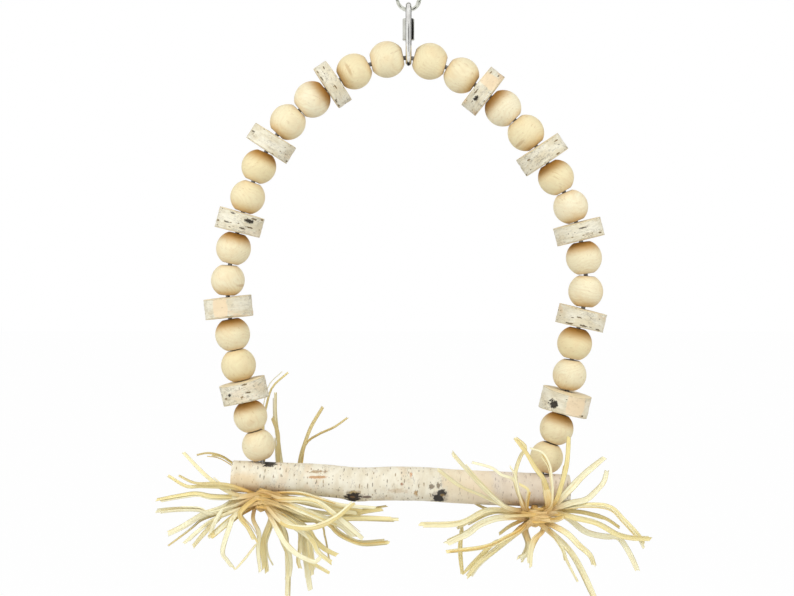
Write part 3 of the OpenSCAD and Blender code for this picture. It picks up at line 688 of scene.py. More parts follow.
# centre and reach in mm, colour, strength, square, ragged, soft
perchMarks = (
    ((60, -8, -271), (32, 14, 14), "EEDACA", 0.45, 0.5, 0.5, 0.3),
    ((33, -9, -270), (14.5, 14, 14), "F4E0BC", 0.55, 0.8, 0.9, 0.25),
    # painted light: the next three rows are warm glows on the underside above the tufts, light bounced from the
    # raffia
    ((-92, -8, -270), (13, 12, 8), "E9CB98", 0.6, 0.2, 0.8, 0.6),
    ((-82, -8, -276), (22, 8, 6), "E2BE86", 0.5, 0.1, 0.6, 0.6),
    ((70, -8, -283), (20, 8, 6), "DDBB88", 0.45, 0.1, 0.6, 0.6),
    ((-50.2, -9, -266.4), (5.8, 4, 0.75), "C08A50", 0.8, 0.3, 2.2, 0.3),
    ((-50, -9, -263.4), (5, 4, 1.2), "A07A40", 0.75, 0.2, 4.0, 0.3),
    ((1.3, -9, -264.8), (1.0, 4, 1.9), "CE9058", 0.8, 0.1, 2.8, 0.4),
    ((4.0, -9, -275.4), (1.3, 4, 1.6), "AD8342", 0.85, 0.1, 4.5, 0.4),
    ((-3.8, -9, -270), (1.0, 4, 1.0), "9A6238", 0.8, 0.1, 4.0, 0.4),
    ((-6.5, -9, -273.9), (6, 4, 1.6), "CDB48E", 0.6, 0.1, 3.6, 0.6),
    ((-27.6, -9, -263.6), (2.8, 4, 0.9), "A07248", 0.8, 0.1, 3.8, 0.4),
    ((12.6, -9, -271.2), (1.7, 4, 1.5), "6E5B40", 0.8, 0.1, 3.8, 0.3),
    ((16.6, -9, -270.8), (1.6, 4, 1.4), "6E5B40", 0.8, 0.1, 3.8, 0.3),
    ((-30.8, -9, -277.2), (6, 9, 4.0), "8E7A5E", 0.7, 0.1, 2.2, 0.5),
    ((-30.4, -9, -274.9), (2.8, 9, 1.3), "A98F52", 0.7, 0.1, 2.4, 0.4),
    ((-30.8, -9, -277.8), (4.8, 9, 2.9), "231C18", 0.97, 0.1, 3.4, 0.25),
    ((-23, -9, -277.6), (2.8, 9, 0.9), "5F4636", 0.85, 0.1, 2.4, 0.3),
    ((-31.2, -9, -277.5), (1.8, 9, 0.8), "7C5F3D", 0.75, 0.1, 3.0, 0.3),
    ((17.3, -9, -277.2), (5.6, 9, 4.6), "968470", 0.5, 0.1, 2.2, 0.5),
    ((18.4, -9, -274.6), (2.6, 9, 1.7), "231D18", 0.95, 0.1, 3.0, 0.25),
    ((16.6, -9, -278.4), (3.8, 9, 2.9), "231D18", 0.97, 0.1, 3.0, 0.25),
    ((18.6, -9, -276.2), (1.3, 9, 0.8), "8A7148", 0.8, 0.1, 2.6, 0.3),
    ((-77.7, -3, -259.4), (4.0, 6, 2.0), "241D1A", 0.95, 0.1, 4.2, 0.25),
    ((75.4, -3, -266.4), (3.4, 6, 1.1), "5A4636", 0.6, 0.1, 2.6, 0.3),
)


def makePerch():
    look = perchLook
    span = look["end"] - look["start"]
    radius, length = look["radius"], span.length
    perch = makeRod(look["rounds"], radius, length, look["steps"], (look["bark"], *look["insets"]))
    selectWhere(perch, "EDGE", lambda edge: all(
        v.co.xy.length > radius - close and abs(v.co.z) > length / 2 - close for v in edge.verts))
    bpy.ops.mesh.bevel(offset=look["rim"], segments=3, affect="EDGES")
    turnOutward(perch)
    mesh = perch.data
    markSawn(mesh, radius - 1.3 * look["bark"])
    home = Matrix.Translation((look["start"] + look["end"]) / 2) @ turnTo(span.normalized()).to_4x4()
    back = home.inverted()
    knots = [(back @ Vector((x * mm, -0.85 * radius, z * mm)), reachX * mm, reachZ * mm, height * mm)
             for x, z, reachX, reachZ, height in look["knots"]]
    toFront = Matrix.Rotation(-frontTurn(span.normalized()), 3, "Z")
    writeVectors(mesh, "place", [toFront @ v.co for v in mesh.vertices])
    writeNumbers(mesh, "reach", [v.co.xy.length / radius for v in mesh.vertices])
    for vertex in mesh.vertices:
        x, y, z = vertex.co
        swell = perchRadius(z / length + 0.5) / radius
        out = vertex.co.xy.length
        if out > 0.5 * radius:
            lift = look["waves"] * noise.noise(Vector((x, y, 0.5 * z)) * 95)
            lift += look["grain"] * noise.noise(Vector((x, y, 3 * z)) * 420)
            for centre, reachX, reachZ, height in knots:
                off = vertex.co - centre
                away = math.sqrt((off.z / reachX) ** 2 + (off.xy.length / reachZ) ** 2)
                if away < 1:
                    lift += height * (1 - away * away) ** 2 * (0.55 + 0.6 * noise.noise(vertex.co * 900))
            swell *= 1 + lift / radius * (out / radius)
        vertex.co = (x * swell, y * swell, z)
    mesh.transform(home)
    for vertex in mesh.vertices:
        for x, rise, wide in look["bends"]:
            vertex.co.z += rise * mm * math.exp(-((vertex.co.x / mm - x) / wide) ** 2)
    return perch


def drill(piece, place, direction, radius, length):
    clearSelection()
    bpy.ops.mesh.primitive_cylinder_add(vertices=40, radius=radius, depth=length)
    bit = bpy.context.object
    bit.data.transform(Matrix.Translation(place) @ turnTo(direction).to_4x4())
    cut = piece.modifiers.new("hole", "BOOLEAN")
    cut.operation, cut.solver, cut.object = "DIFFERENCE", "EXACT", bit
    applyModifiers(piece)
    dropPattern(bit)


perch = makePerch()
for x, z, heading, outward in perchLook["feet"]:
    angle = math.radians(heading)
    down = Vector((outward * math.cos(angle), 0, -math.sin(angle)))
    drill(perch, Vector((x * mm, 0, z * mm)), down, perchLook["hole"], perchLook["drill"] * perchLook["radius"])
perch.name = "perchBranch"
perch.data.materials.clear()
for material in (makePerchBark(), sawnBirch):
    perch.data.materials.append(material)
smoothBelow(perch, 45)
standFor(perch, "arch", "perch_birch", "perch")
print("perch made:", len(perch.data.polygons), "faces")


# Steel: the link swept anew with its thread, the rest copied from the CAD with edges broken

steelLook = {
    "rod": 3.3 * mm, "bend": 6.15 * mm, "upper": -9.55 * mm, "lower": -29.95 * mm,
    "gateTop": -12.05 * mm, "gateLow": -16.05 * mm, "threadFrom": -28.6 * mm, "pitch": 0.6 * mm,
    "threadDepth": 0.9, "bowSteps": 32,
    # node, name, body, slot, whether its flat faces are joined, edge width, its steel
    "copies": (("link_nut", "linkSleeve", "nut", "nut_steel", True, 0.16 * mm,
                ("sleeveSteel", "D2D2CA", "BEBDB4", 0.05, 0.012 * mm)),
               ("split_ring", "flatRing", "ring", "ring_steel", True, 0.12 * mm,
                ("ringSteel", "DCDDD2", "C2C3B6", 0.06, 0.01 * mm)),
               # the arch wire's dark grey is painted shade, for where it shows in the gaps between the beads
               ("arch_wire", "archWire", "arch", "arch_steel", False, 0,
                ("wireDarkenedAsShade", "8E8A84", "5F5B56", 0.25, 0.02 * mm))),
}


def makeSteel(name, colour, dark, dullness, roughGrain):
    material, tree, shader = newMaterial(name)
    at = tree.nodes.new("ShaderNodeTexCoord").outputs["Object"]
    worn = useGroup(tree, handledSteel, Place=at, Dullness=dullness)
    shader["Metallic"].default_value = 1.0
    dress(tree, shader, tint(tree, worn["Tone"], colour, dark), worn["Roughness"], worn["Height"],
          roughGrain, 0.3)
    return material


def makeLink():
    look = steelLook
    clearSelection()
    bpy.ops.mesh.primitive_circle_add(vertices=40, radius=look["rod"] / 2, fill_type="NGON",
                                      location=(0, look["bend"], look["gateTop"]))
    link = bpy.context.object
    bpy.ops.object.transform_apply(location=True, rotation=True, scale=True)
    startEdit(link)
    bpy.ops.mesh.select_all(action="SELECT")
    rise = lambda dz: bpy.ops.mesh.extrude_region_move(TRANSFORM_OT_translate={"value": (0, 0, dz)})
    bow = lambda at: bpy.ops.mesh.spin(steps=look["bowSteps"], angle=-math.pi, center=(0, 0, at),
                                       axis=(1, 0, 0))
    rise(look["upper"] - look["gateTop"])
    bow(look["upper"])
    rise(look["lower"] - look["upper"])
    bow(look["lower"])
    rise(look["threadFrom"] - look["lower"])
    level = look["threadFrom"]
    while level < look["gateLow"] - look["pitch"]:
        for size in (look["threadDepth"], 1 / look["threadDepth"]):
            rise(look["pitch"] / 2)
            level += look["pitch"] / 2
            bpy.ops.transform.resize(value=(size, size, 1), center_override=(0, look["bend"], level))
    rise(look["gateLow"] - level)
    turnOutward(link)
    return link


def copyNode(node, dissolve, bevel):
    mesh = frame["nodes"][node].data.copy()
    piece = addPiece(node + "_copy", mesh)
    startEdit(piece)
    bpy.ops.mesh.select_all(action="SELECT")
    bpy.ops.mesh.customdata_custom_splitnormals_clear()
    bpy.ops.mesh.remove_doubles(threshold=0.002 * mm)
    if dissolve:
        bpy.ops.mesh.dissolve_limited(angle_limit=math.radians(0.6))
    objectMode()
    if bevel:
        edge = piece.modifiers.new("edge", "BEVEL")
        edge.width, edge.segments, edge.limit_method = bevel, 2, "ANGLE"
        edge.angle_limit = math.radians(32)
        applyModifiers(piece)
    smoothBelow(piece, 35)
    return piece


link = makeLink()
link.name = "linkRod"
link.data.materials.append(makeSteel("platedSteel", "F0F0EC", "DAD8D4", 0.04, 0.01 * mm))
smoothBelow(link, 40)
standFor(link, "link", "link_steel", "link_body")
for node, name, body, slot, joined, edgeWidth, steel in steelLook["copies"]:
    piece = copyNode(node, joined, edgeWidth)
    piece.name = name
    piece.data.materials.append(makeSteel(*steel))
    standFor(piece, body, slot, node)
print("steel made")


# Raffia: flat dry strips through places in hundredths of the reach from the eye, as in the CAD.
# (width, twist in degrees, place, ...); a 0 after the twist means the strip starts at its first place.

raffiaLook = {
    "share": 0.56 * mm, "thick": 0.26 * mm, "steps": 30, "across": 4, "waist": 2.1 * mm, "bunch": 3.46 * mm,
    "bunchX": 4.3 * mm, "tieX": 2.55 * mm,
    "origins": (Vector((-81.09, 0, -280.68)) * mm, Vector((69.69, 0, -287.72)) * mm),
    "middles": (Vector((-81.09, -9.92, -278.02)) * mm, Vector((69.69, -7.68, -287.29)) * mm),
    # the most that a strip curls, creases, rolls and unrolls in degrees, and is cut aslant
    "loose": (0.45, 0.3, 14, 22, 0.8),
    "tones": (0.1, 0.15, 0.2, 0.3, 0.45, 0.62), "greenTone": 0.93, "shadeReach": 24 * mm,
    "fibres": 46, "fibreWide": (0.7, 1.5), "fibreDrift": 2.2 * mm,
    # coverNear and crossNear set the painted shade near the knot on the strips over the eye
    # strips over the front of the eye: how many, half width, path as along and away from the middle, and
    # fan as first angle, whole angle and play
    "covers": 9, "coverWide": 0.85 * mm, "coverFan": (-80, 160, 6), "coverNear": 0.68,
    "coverPath": ((-3.2, 3.2), (-1.8, 4.1), (-1.15, 5.1), (0, 5.25), (1.15, 5.1), (1.8, 4.1), (3.2, 3.2)),
    # strips that cross the front of the eye on their way out
    "crossWide": 1.25 * mm, "crossFan": (-68, 110, 7), "crossDrift": 1.6 * mm, "crossNear": 0.72,
    "crossPath": ((-3.2, 4.4), (-1.4, 6.0), (0.5, 6.5), (2.8, 5.9)),
}

leftStrips = (
    (4, 10, (-29, -14, 9), (-54, -12, 25), (-79, -8, 49)),
    (3.5, 0, (-26, -18, 15), (-41, -16, 16), (-61, -13, 16), (-76, -11, 16), (-94, -9, 26)),
    (3, 15, (-28, -21, 18), (-44, -19, 20), (-66, -16, 20), (-83, -13, 27)),
    (3.5, 5, (-31, -10, 5), (-51, -12, 6), (-66, -12, 9), (-86, -10, 6), (-106, -9, 2)),
    (6, -12, (-31, -14, -4), (-52, -15, -10), (-63, -16, -6), (-86, -14, -6), (-105, -13, -8)),
    (6, 0, (-26, -5, 1), (-41, -6, -7), (-61, -7, -14), (-81, -6, -26), (-95, -5, -33)),
    (2.5, 20, (-40, -2, -12), (-61, -3, -19), (-71, -3, -27), (-84, -3, -37), (-95, -3, -45)),
    (4, 10, (-44, -12, -15), (-61, -12, -26), (-78, -11, -41)),
    (5, -10, (-36, 1, -11), (-49, 1, -22), (-61, 1, -35), (-71, 1, -47)),
    (7, 0, (-20, -18, -8), (-36, -19, -20), (-51, -19, -33)),
    (4, 0, 0, (-52, -19, -34), (-46, -22, -18), (-38, -23, -4)),
    (2, 0, (-26, -20, -12), (-30, -21, -22), (-37, -20, -47), (-32, -19, -57), (-26, -18, -65)),
    (2, 0, 0, (-26, -18, -65), (-16, -17, -54), (-5, -16, -40)),
    (2.5, 10, (-20, -23, -9), (-11, -21, -24), (-4, -19, -38)),
    (4, 0, (-9, -14, -15), (-3, -14, -30), (-4, -13, -47), (-2, -12, -69)),
    (4, 20, (9, -8, -16), (1, -6, -42), (3, -5, -72)),
    (2, 0, (9, -2, -18), (3, 1, -40), (4, 2, -55), (9, 3, -66)),
    (5.5, -8, (14, -17, -17), (21, -18, -37), (26, -18, -49), (27, -17, -62), (25, -16, -74)),
    (3.5, 15, (20, 4, -30), (23, 5, -47), (24, 6, -75), (23, 7, -100)),
    (4, 0, (34, -12, -24), (37, -12, -42), (35, -12, -57), (37, -12, -65)),
    (7, 10, (37, -5, -25), (40, -5, -42), (43, -5, -62), (45, -5, -77), (47, -5, -89)),
    (4, 0, (42, -17, -27), (47, -17, -42), (50, -16, -71)),
    (4, -15, (18, -22, -26), (24, -23, -37), (37, -23, -50), (47, -22, -56), (67, -20, -68)),
    (2, 0, (26, -27, -40), (50, -27, -55), (59, -26, -51)),
    (5.5, 0, (42, -9, -25), (52, -9, -38), (62, -9, -47), (74, -9, -53)),
    (5.5, 12, (46, -20, -32), (56, -20, -47), (69, -19, -58)),
    (2, 0, (54, -1, -23), (61, -1, -35), (66, -1, -62)),
    (3.5, 0, (40, -10, -12), (64, -13, -20), (74, -13, -30), (86, -13, -37), (99, -13, -41), (126, -11, -40)),
    (7.5, 5, (19, -20, 3), (39, -23, -4), (59, -23, -12), (79, -22, -20), (91, -21, -32)),
    (5.5, 0, (24, -23, 5), (54, -28, 4), (79, -28, -14), (100, -26, -33)),
    (3.5, -10, (19, -25, -17), (34, -28, -22), (54, -32, -21), (74, -32, -12), (92, -30, 3)),
    (3, 0, (34, -1, -18), (79, 1, -16), (99, 1, -10), (123, 1, -6)),
    (4, 10, (40, 4, -10), (79, 6, -16), (101, 6, -11)),
    (4, 0, (30, -7, -14), (54, -6, -18), (89, -5, -17), (135, -4, -18.5)),
    (4, 0, (19, -16, 10), (39, -19, 10), (59, -18, 4), (79, -16, -2), (112, -14, -5)),
    (4, 15, (25, -13, 5), (50, -13, 1), (75, -11, -6), (100, -10, -9)),
    (4, -10, (28, -9, 2), (55, -8, -4), (82, -7, -10)),
    (2.5, 10, (-14, 20, 4), (-22, 25, 22), (-36, 20, 35), (-46, 16, 42), (-58, 13, 45), (-69, 12, 43)),
    (2.5, 0, (-9, 16, -3), (-4, 26, 20), (-2, 24, 45), (-3, 23, 73), (0, 25, 91), (6, 27, 110), (22, 27, 125)),
    (4.5, 10, (9, 16, -3), (12, 27, 20), (12, 24, 41), (12, 23, 63), (6, 23, 80)),
    (3.5, 0, (12, 19, -4), (15, 33, 22), (13, 31, 45), (11, 29, 63), (9, 29, 83), (9, 29, 105)),
    (4, -10, (18, 17, -1), (30, 27, 20), (35, 24, 41), (39, 22, 53), (46, 21, 71), (58, 20, 91)),
    (2.5, 0, (18, 22, -3), (33, 33, 22), (39, 31, 50), (52, 29, 61), (69, 28, 69), (83, 27, 79)),
)
rightStrips = (
    (5, 5, (-29, -12, 5), (-49, -15, 5), (-74, -14, -7), (-114, -11, -9)),
    (7, -5, (-34, -18, -1), (-54, -20, -7), (-66, -20, -16), (-87, -18, -27)),
    (5, 0, (-39, -5, 2), (-71, -4, -11)),
    (4.5, 0, 0, (-71, -5, -11), (-73, -6, -35), (-71, -7, -60)),
    (4.5, 0, 0, (-71, -7, -60), (-54, -9, -42), (-39, -10, -28), (-27, -11, -24), (-12, -11, -10)),
    (4.5, 0, (-14, -19, -13), (-29, -22, -20), (-49, -22, -29), (-88, -20, -34.5)),
    (5, 10, (-29, -15, -26), (-54, -16, -45), (-67, -16, -60)),
    (4, 0, (-22, 1, -13), (-34, 2, -22)),
    (3.5, 0, (-24, -20, 7), (-39, -23, 15), (-56, -24, 23), (-74, -24, 31), (-96, -23, 48)),
    (4.5, 0, (-22, -21, 8), (-34, -26, 14), (-54, -28, 33), (-72, -28, 53), (-82, -27, 65)),
    (3, 0, (-13, -23, 10), (-16, -27, 22), (-22, -29, 38), (-34, -29, 43), (-44, -29, 50), (-63, -28, 55)),
    (2, 0, (-11, -26, 10), (-17, -32, 25), (-21, -32, 43), (-26, -32, 52)),
    (4, -10, (-10, -20, 10), (-18, -24, 27), (-20, -23, 43), (-15, -23, 60), (-10, -23, 69), (-20, -22, 78)),
    (4.5, 0, (12, -20, 13), (9, -26, 35), (-1, -28, 50), (-10, -29, 65), (-20, -29, 78)),
    (3, 0, (-9, -28, 12), (-8, -33, 28), (-17, -34, 35)),
    (8, 0, (13, -22, 9), (12, -25, 20), (9, -23, 35)),
    (2, 0, (14, -28, 12), (16, -31, 25), (15, -32, 40), (13, -32, 53), (6, -31, 65), (-6, -30, 69)),
    (5, 10, (19, -21, 15), (26, -22, 35), (31, -21, 55), (33, -20, 79)),
    (6.5, -5, (20, -19, 13), (34, -20, 27), (49, -18, 42), (69, -16, 58)),
    (6, 0, (20, -16, 8), (36, -16, 13), (51, -14, 16), (61, -12, 24), (69, -11, 33), (72, -11, 44)),
    (3.5, 10, (24, -13, 6), (51, -14, 9.5), (74, -13, 7), (88, -12, -6), (103, -11, -22), (109, -10, -33)),
    (5, 0, (24, -16, 2), (41, -18, -2), (61, -18, -7), (81, -17, -18), (96, -16, -22), (115, -15, -23)),
    (6, 0, (29, -9, -1), (51, -8, -17), (71, -8, -22), (84, -8, -23), (94, -8, -37), (103, -8, -56)),
    (6, -10, (29, -20, -15), (43, -21, -28), (54, -20, -38), (58, -19, -48)),
    (4, 0, (24, -4, -25), (36, -4, -38), (46, -4, -55), (62, -4, -90)),
    (3, 15, (26, -14, -30), (32, -14, -45), (43, -13, -66)),
    (4, 0, (-9, -10, -15), (-5, -11, -30), (-8, -11, -38), (-17, -10, -43)),
    (3, 0, (-10, -3, -16), (-5, 0, -33), (-11, 1, -50)),
    (3.5, 0, (9, -14, -15), (0, -16, -24), (-3, -16, -36), (-4, -16, -51)),
    (3, 10, (9, -5, -14), (1, -6, -30), (-2, -6, -40)),
    (5, 0, (18, -22, -2), (29, -23, 2)),
    (4, 0, (22, -7, 3), (45, -6, 2), (70, -5, -4), (86, -5, -14)),
    (3.5, 10, (-26, -8, 3), (-50, -9, 0), (-76, -8, -14)),
    (3, 0, (-24, 6, 0), (-46, 10, 2), (-66, 12, 12)),
    (3, 0, (22, 8, -3), (44, 12, 2), (62, 13, 14)),
)


def makeRaffiaStraw(name, pale, straw, ochre, olive):
    material, tree, shader = newMaterial(name)
    uv = tree.nodes.new("ShaderNodeUVMap").outputs[0]
    tone, nearEye, number = splitOf(tree, attributeOf(tree, "look"))
    u, v, _ = splitOf(tree, uv)
    spot = joinOf(tree, *(calc(tree, "MULTIPLY", part, rate) for part, rate in ((u, 5.0), (v, 16.0),
                                                                                (number, 40.0))))
    lines = noiseOf(tree, spot, 1.0, 4.0, 0.6)[0]
    fine = noiseOf(tree, vectorCalc(tree, "MULTIPLY", spot, (0.6, 4.0, 1.0)), 1.0, 3.0)[0]
    strip = tint(tree, spread(tree, tone, 0.15, 0.5), pale, straw)
    strip = tint(tree, spread(tree, tone, 0.55, 0.8), strip, ochre)
    strip = tint(tree, spread(tree, lines, 0.48, 0.66, 0.0, 0.6), strip, ochre)
    # pale fine streaks along the fibres, partly the strips' own pale fibres and partly painted highlights
    strip = tint(tree, spread(tree, fine, 0.48, 0.66, 0.0, 0.65), strip, "FFFBE2")
    split = noiseOf(tree, vectorCalc(tree, "MULTIPLY", spot, (0.5, 2.0, 3.0)), 1.0, 4.0, 0.7)[0]
    strip = tint(tree, spread(tree, split, 0.6, 0.7), strip, "9A7426", 0.55)
    strip = tint(tree, spread(tree, tone, 0.88, 0.98, 0.0, 0.8), strip, olive)
    # painted shade near the knot: warmer gold, then deep red brown and near black in the gaps between strips,
    # by the look's second part
    strip = tint(tree, spread(tree, nearEye, 0.0, 0.5, 0.0, 0.62), strip, "E0A834")
    deep = calc(tree, "MULTIPLY", spread(tree, nearEye, 0.3, 0.7), spread(tree, lines, 0.42, 0.6, 0.1, 1.0))
    strip = tint(tree, deep, strip, "B06A1E", 0.75)
    dark = calc(tree, "MULTIPLY", spread(tree, nearEye, 0.5, 0.75), spread(tree, lines, 0.5, 0.58))
    strip = tint(tree, dark, strip, "5B2A12", 0.85)
    edge = calc(tree, "ABSOLUTE", calc(tree, "MULTIPLY_ADD", v, 2.0, -1.0))
    strip = tint(tree, spread(tree, edge, 0.84, 1.0, 0.0, 0.5), strip, "8E7C34")
    dress(tree, shader, strip, spread(tree, lines, 0.3, 0.7, 0.5, 0.72), calc(tree, "ADD", lines, fine),
          0.08 * mm, 0.7)
    return material


def smoothLine(places, steps):
    # a line through every place, read at even shares of its length
    line, parts = [], 12
    for i in range(len(places) - 1):
        a = places[i - 1] if i else 2 * places[0] - places[1]
        b, c = places[i], places[i + 1]
        d = places[i + 2] if i + 2 < len(places) else 2 * places[-1] - places[-2]
        for j in range(parts):
            t = j / parts
            line.append(0.5 * (2 * b + (c - a) * t + (2 * a - 5 * b + 4 * c - d) * t * t
                               + (3 * b - a - 3 * c + d) * t ** 3))
    line.append(places[-1])
    reached = [0.0]
    for a, b in zip(line, line[1:]):
        reached.append(reached[-1] + (b - a).length)
    even, k = [], 0
    for i in range(steps + 1):
        want = reached[-1] * i / steps
        while k < len(line) - 2 and reached[k + 1] < want:
            k += 1
        part = (want - reached[k]) / max(reached[k + 1] - reached[k], 1e-9)
        even.append(line[k].lerp(line[k + 1], min(1, max(0, part))))
    return even


def makeStripPattern(steps, across):
    clearSelection()
    bpy.ops.mesh.primitive_grid_add(x_subdivisions=steps, y_subdivisions=across, size=1)
    return bpy.context.object


def shapeStrip(pattern, steps, places, halfWide, chance, tone, number, near, twist=0, facing=None, fray=1.0):
    # lays a copy of the flat pattern along the places: u runs along it and v across it
    mesh = pattern.data.copy()
    line = smoothLine(places, steps)
    curl, crease, roll, unroll, slant = (chance.uniform(-most, most) for most in raffiaLook["loose"])
    torn = [chance.uniform(-0.5, 0.3) * mm * fray for _ in range(12)]
    looks = []
    for vertex in mesh.vertices:
        u, v = vertex.co.x + 0.5, 2 * vertex.co.y
        i = min(steps, max(0, round(u * steps)))
        here = line[i]
        ahead = (line[min(i + 1, steps)] - line[max(i - 1, 0)]).normalized()
        front = facing(here) if facing else toViewer
        across = front.cross(ahead).normalized()
        through = ahead.cross(across)
        angle = math.radians(twist * math.sin(math.pi * u) + (roll + unroll * u) * min(1, 4 * u) * fray)
        side = across * math.cos(angle) + through * math.sin(angle)
        face = through * math.cos(angle) - across * math.sin(angle)
        wide = halfWide * (0.75 + 0.25 * math.sin(math.pi * u)) * min(1, 0.55 + 4 * u)
        wide *= 1 + 0.1 * noise.noise(Vector((u * 7, number * 3.7, 0)))
        bend = curl * v * v + crease * abs(v) + 0.12 * noise.noise(Vector((u * 6, v, number)))
        spot = here + side * v * wide + face * bend * wide
        if i == steps:
            spot += ahead * (slant * v * wide * fray + torn[round((v + 1) * 2)])
        # the look's second part is how much painted shade near the knot this place gets
        looks.append((tone, near(here), number % 17 / 17))
        vertex.co = spot
    writeVectors(mesh, "look", looks)
    return mesh


def joinMeshes(name, meshes, material):
    clearSelection()
    parts = [addPiece(f"{name}Part{i}", mesh, material) for i, mesh in enumerate(meshes)]
    clearSelection()
    for part in parts:
        part.select_set(True)
    bpy.context.view_layer.objects.active = parts[0]
    bpy.ops.object.join()
    parts[0].name = name
    for mesh in [mesh for mesh in bpy.data.meshes if not mesh.users]:
        bpy.data.meshes.remove(mesh)
    return parts[0]


def thicken(piece, thick):
    wall = piece.modifiers.new("thickness", "SOLIDIFY")
    wall.thickness, wall.offset = thick, 0
    applyModifiers(piece)


def outFrom(middle, spot):
    # from the tuft's line along X straight out to the spot
    return Vector((0, spot.y - middle.y, spot.z - middle.z))


def makeBunch(middle, chance):
    # the gathered strips inside the eye: a spindle with pleats along it
    look = raffiaLook
    half = look["bunchX"] + 1.6 * mm
    bunch = makeRod(72, 1, 2, 27, (0.5,))
    objectMode()
    mesh = bunch.data
    uv = mesh.uv_layers.active.data
    for loop in mesh.loops:
        x, y, z = mesh.vertices[loop.vertex_index].co
        uv[loop.index].uv = (z * 0.1 + 0.5, 2.0 * abs(math.atan2(y, x)) / math.pi)
    seed = chance.uniform(0, 10)
    for vertex in mesh.vertices:
        x, y, z = vertex.co
        level = abs(z) * half
        share = min(1, max(0, (level - 1.3 * mm) / (1.1 * mm)))
        radius = look["waist"] + (look["bunch"] * 0.97 - look["waist"]) * share * share * (3 - 2 * share)
        if level > look["tieX"] + 1 * mm:
            radius *= 1 - 0.35 * ((level - look["tieX"] - 1 * mm) / (2.4 * mm)) ** 2
        angle = math.atan2(y, x)
        pleat = 1 + 0.07 * math.sin(11 * angle + 2 * z + seed)
        pleat += 0.06 * noise.noise(Vector((6 * x, 6 * y, z + seed)))
        vertex.co = middle + Vector((z * half, 0, 0)) + radius * pleat * Vector((0, x, y))
    # the gathered bunch gets strong painted shade near the knot
    writeVectors(mesh, "look", [(0.6, 0.85, 0.3)] * len(mesh.vertices))
    return bunch


def makeTuft(side, sideNo, strips, pattern, material):
    look = raffiaLook
    origin, middle, share = look["origins"][sideNo], look["middles"][sideNo], look["share"]
    chance = random.Random(40 + sideNo)
    # near: painted shade near the knot, strongest at the eye and gone at shadeReach
    near = lambda spot: max(0.0, 1 - (spot - middle).length / look["shadeReach"]) ** 1.3

    def placesOf(strip, shorten=1.0, drift=0.0):
        rooted = strip[2] != 0
        places = [origin + share * Vector(place) for place in strip[2 if rooted else 3:]]
        if drift:
            off = Vector([chance.uniform(-1, 1) for _ in range(3)])
            for i, place in enumerate(places):
                places[i] = place + off * drift * (i + 1) / len(places)
            last = max(1, round(len(places) * shorten))
            places = places[:last]
            if len(places) == 1 or shorten < 1:
                before = places[-2] if len(places) > 1 else middle
                places[-1] = before.lerp(places[-1], 0.85)
        if rooted:
            out = 1 if strip[2][0] > 0 else -1
            lean = outFrom(middle, places[0])
            lean = lean.normalized() if lean.length > 0 else Vector((0, 0, -1))
            start = middle + Vector((-out * 0.5 * mm, 0, 0)) + lean * 0.45 * look["waist"]
            collar = middle + Vector((out * look["tieX"], 0, 0)) + lean * 0.72 * look["bunch"]
            places = [start, collar] + places
        return places

    def addStrip(places, halfWide, tone, number, near=near, **more):
        meshes.append(shapeStrip(pattern, look["steps"], places, halfWide, chance, tone, number, near, **more))

    def fanned(fan, i, count):
        first, whole, play = fan
        angle = math.radians(first + whole * i / (count - 1) + chance.uniform(-play, play))
        return Vector((0, -math.cos(angle), math.sin(angle)))

    meshes = []
    for i, strip in enumerate(strips):
        rising = strip[-1][2] > 60 and sideNo == 0
        far = strip[0] <= 3 and abs(strip[-1][0]) > 65
        tone = look["greenTone"] if far or (rising and i % 2) else chance.choice(look["tones"])
        addStrip(placesOf(strip), 0.5 * share * strip[0], tone, i, twist=strip[1])
    for i in range(look["fibres"]):
        strip = strips[chance.randrange(len(strips))]
        places = placesOf(strip, chance.uniform(0.6, 1.0), look["fibreDrift"])
        wide = 0.5 * share * chance.uniform(*look["fibreWide"])
        addStrip(places, wide, chance.random() * 0.8, i + 60)
    for i in range(look["covers"]):
        out = fanned(look["coverFan"], i, look["covers"])
        lift = 1 + 0.05 * (i % 2) + chance.uniform(0, 0.03)
        places = [middle + Vector((along * mm, 0, 0)) + out * away * lift * mm
                  for along, away in look["coverPath"]]
        addStrip(places, look["coverWide"] * chance.uniform(0.8, 1.1), 0.6, 120 + i,
                 lambda spot: look["coverNear"], fray=0.3,
                 facing=lambda spot: outFrom(middle, spot).normalized())
    lower = [strip for strip in strips if strip[2] != 0 and strip[-1][2] < 12]
    crossing = sorted(lower[::2] + lower[1::3], key=lambda strip: placesOf(strip)[2].z)
    for i, strip in enumerate(crossing):
        places = placesOf(strip, 0.95, look["crossDrift"])[2:]
        out = 1 if places[0].x > middle.x else -1
        ahead = fanned(look["crossFan"], i, len(crossing))
        path = [middle + Vector((out * along * mm, 0, 0)) + ahead * away * mm
                for along, away in look["crossPath"]]
        addStrip(path + places, look["crossWide"] * chance.uniform(0.7, 1.4), 0.05 + 0.12 * (i % 4), 150 + i,
                 lambda spot: look["crossNear"] * near(spot))
    tuft = joinMeshes(f"{side}TuftStrips", meshes, material)
    thicken(tuft, look["thick"])
    bunch = makeBunch(middle, chance)
    bunch.data.materials.append(material)
    pick(tuft)
    bunch.select_set(True)
    bpy.ops.object.join()
    smoothBelow(tuft, 60)
    tuft.name = f"{side}Tuft"
    standFor(tuft, "arch", "raffia", f"{side}_raffia")
    print(side, "tuft made:", len(tuft.data.polygons), "faces")


# near: the painted shade near the knot that the tie gets
tieLook = {"wide": 1.15 * mm, "thick": 0.3 * mm, "turns": 2.3, "pitch": 0.75 * mm, "steps": 84, "places": 40,
           "clear": 0.12 * mm, "build": 0.34 * mm, "near": 0.12}


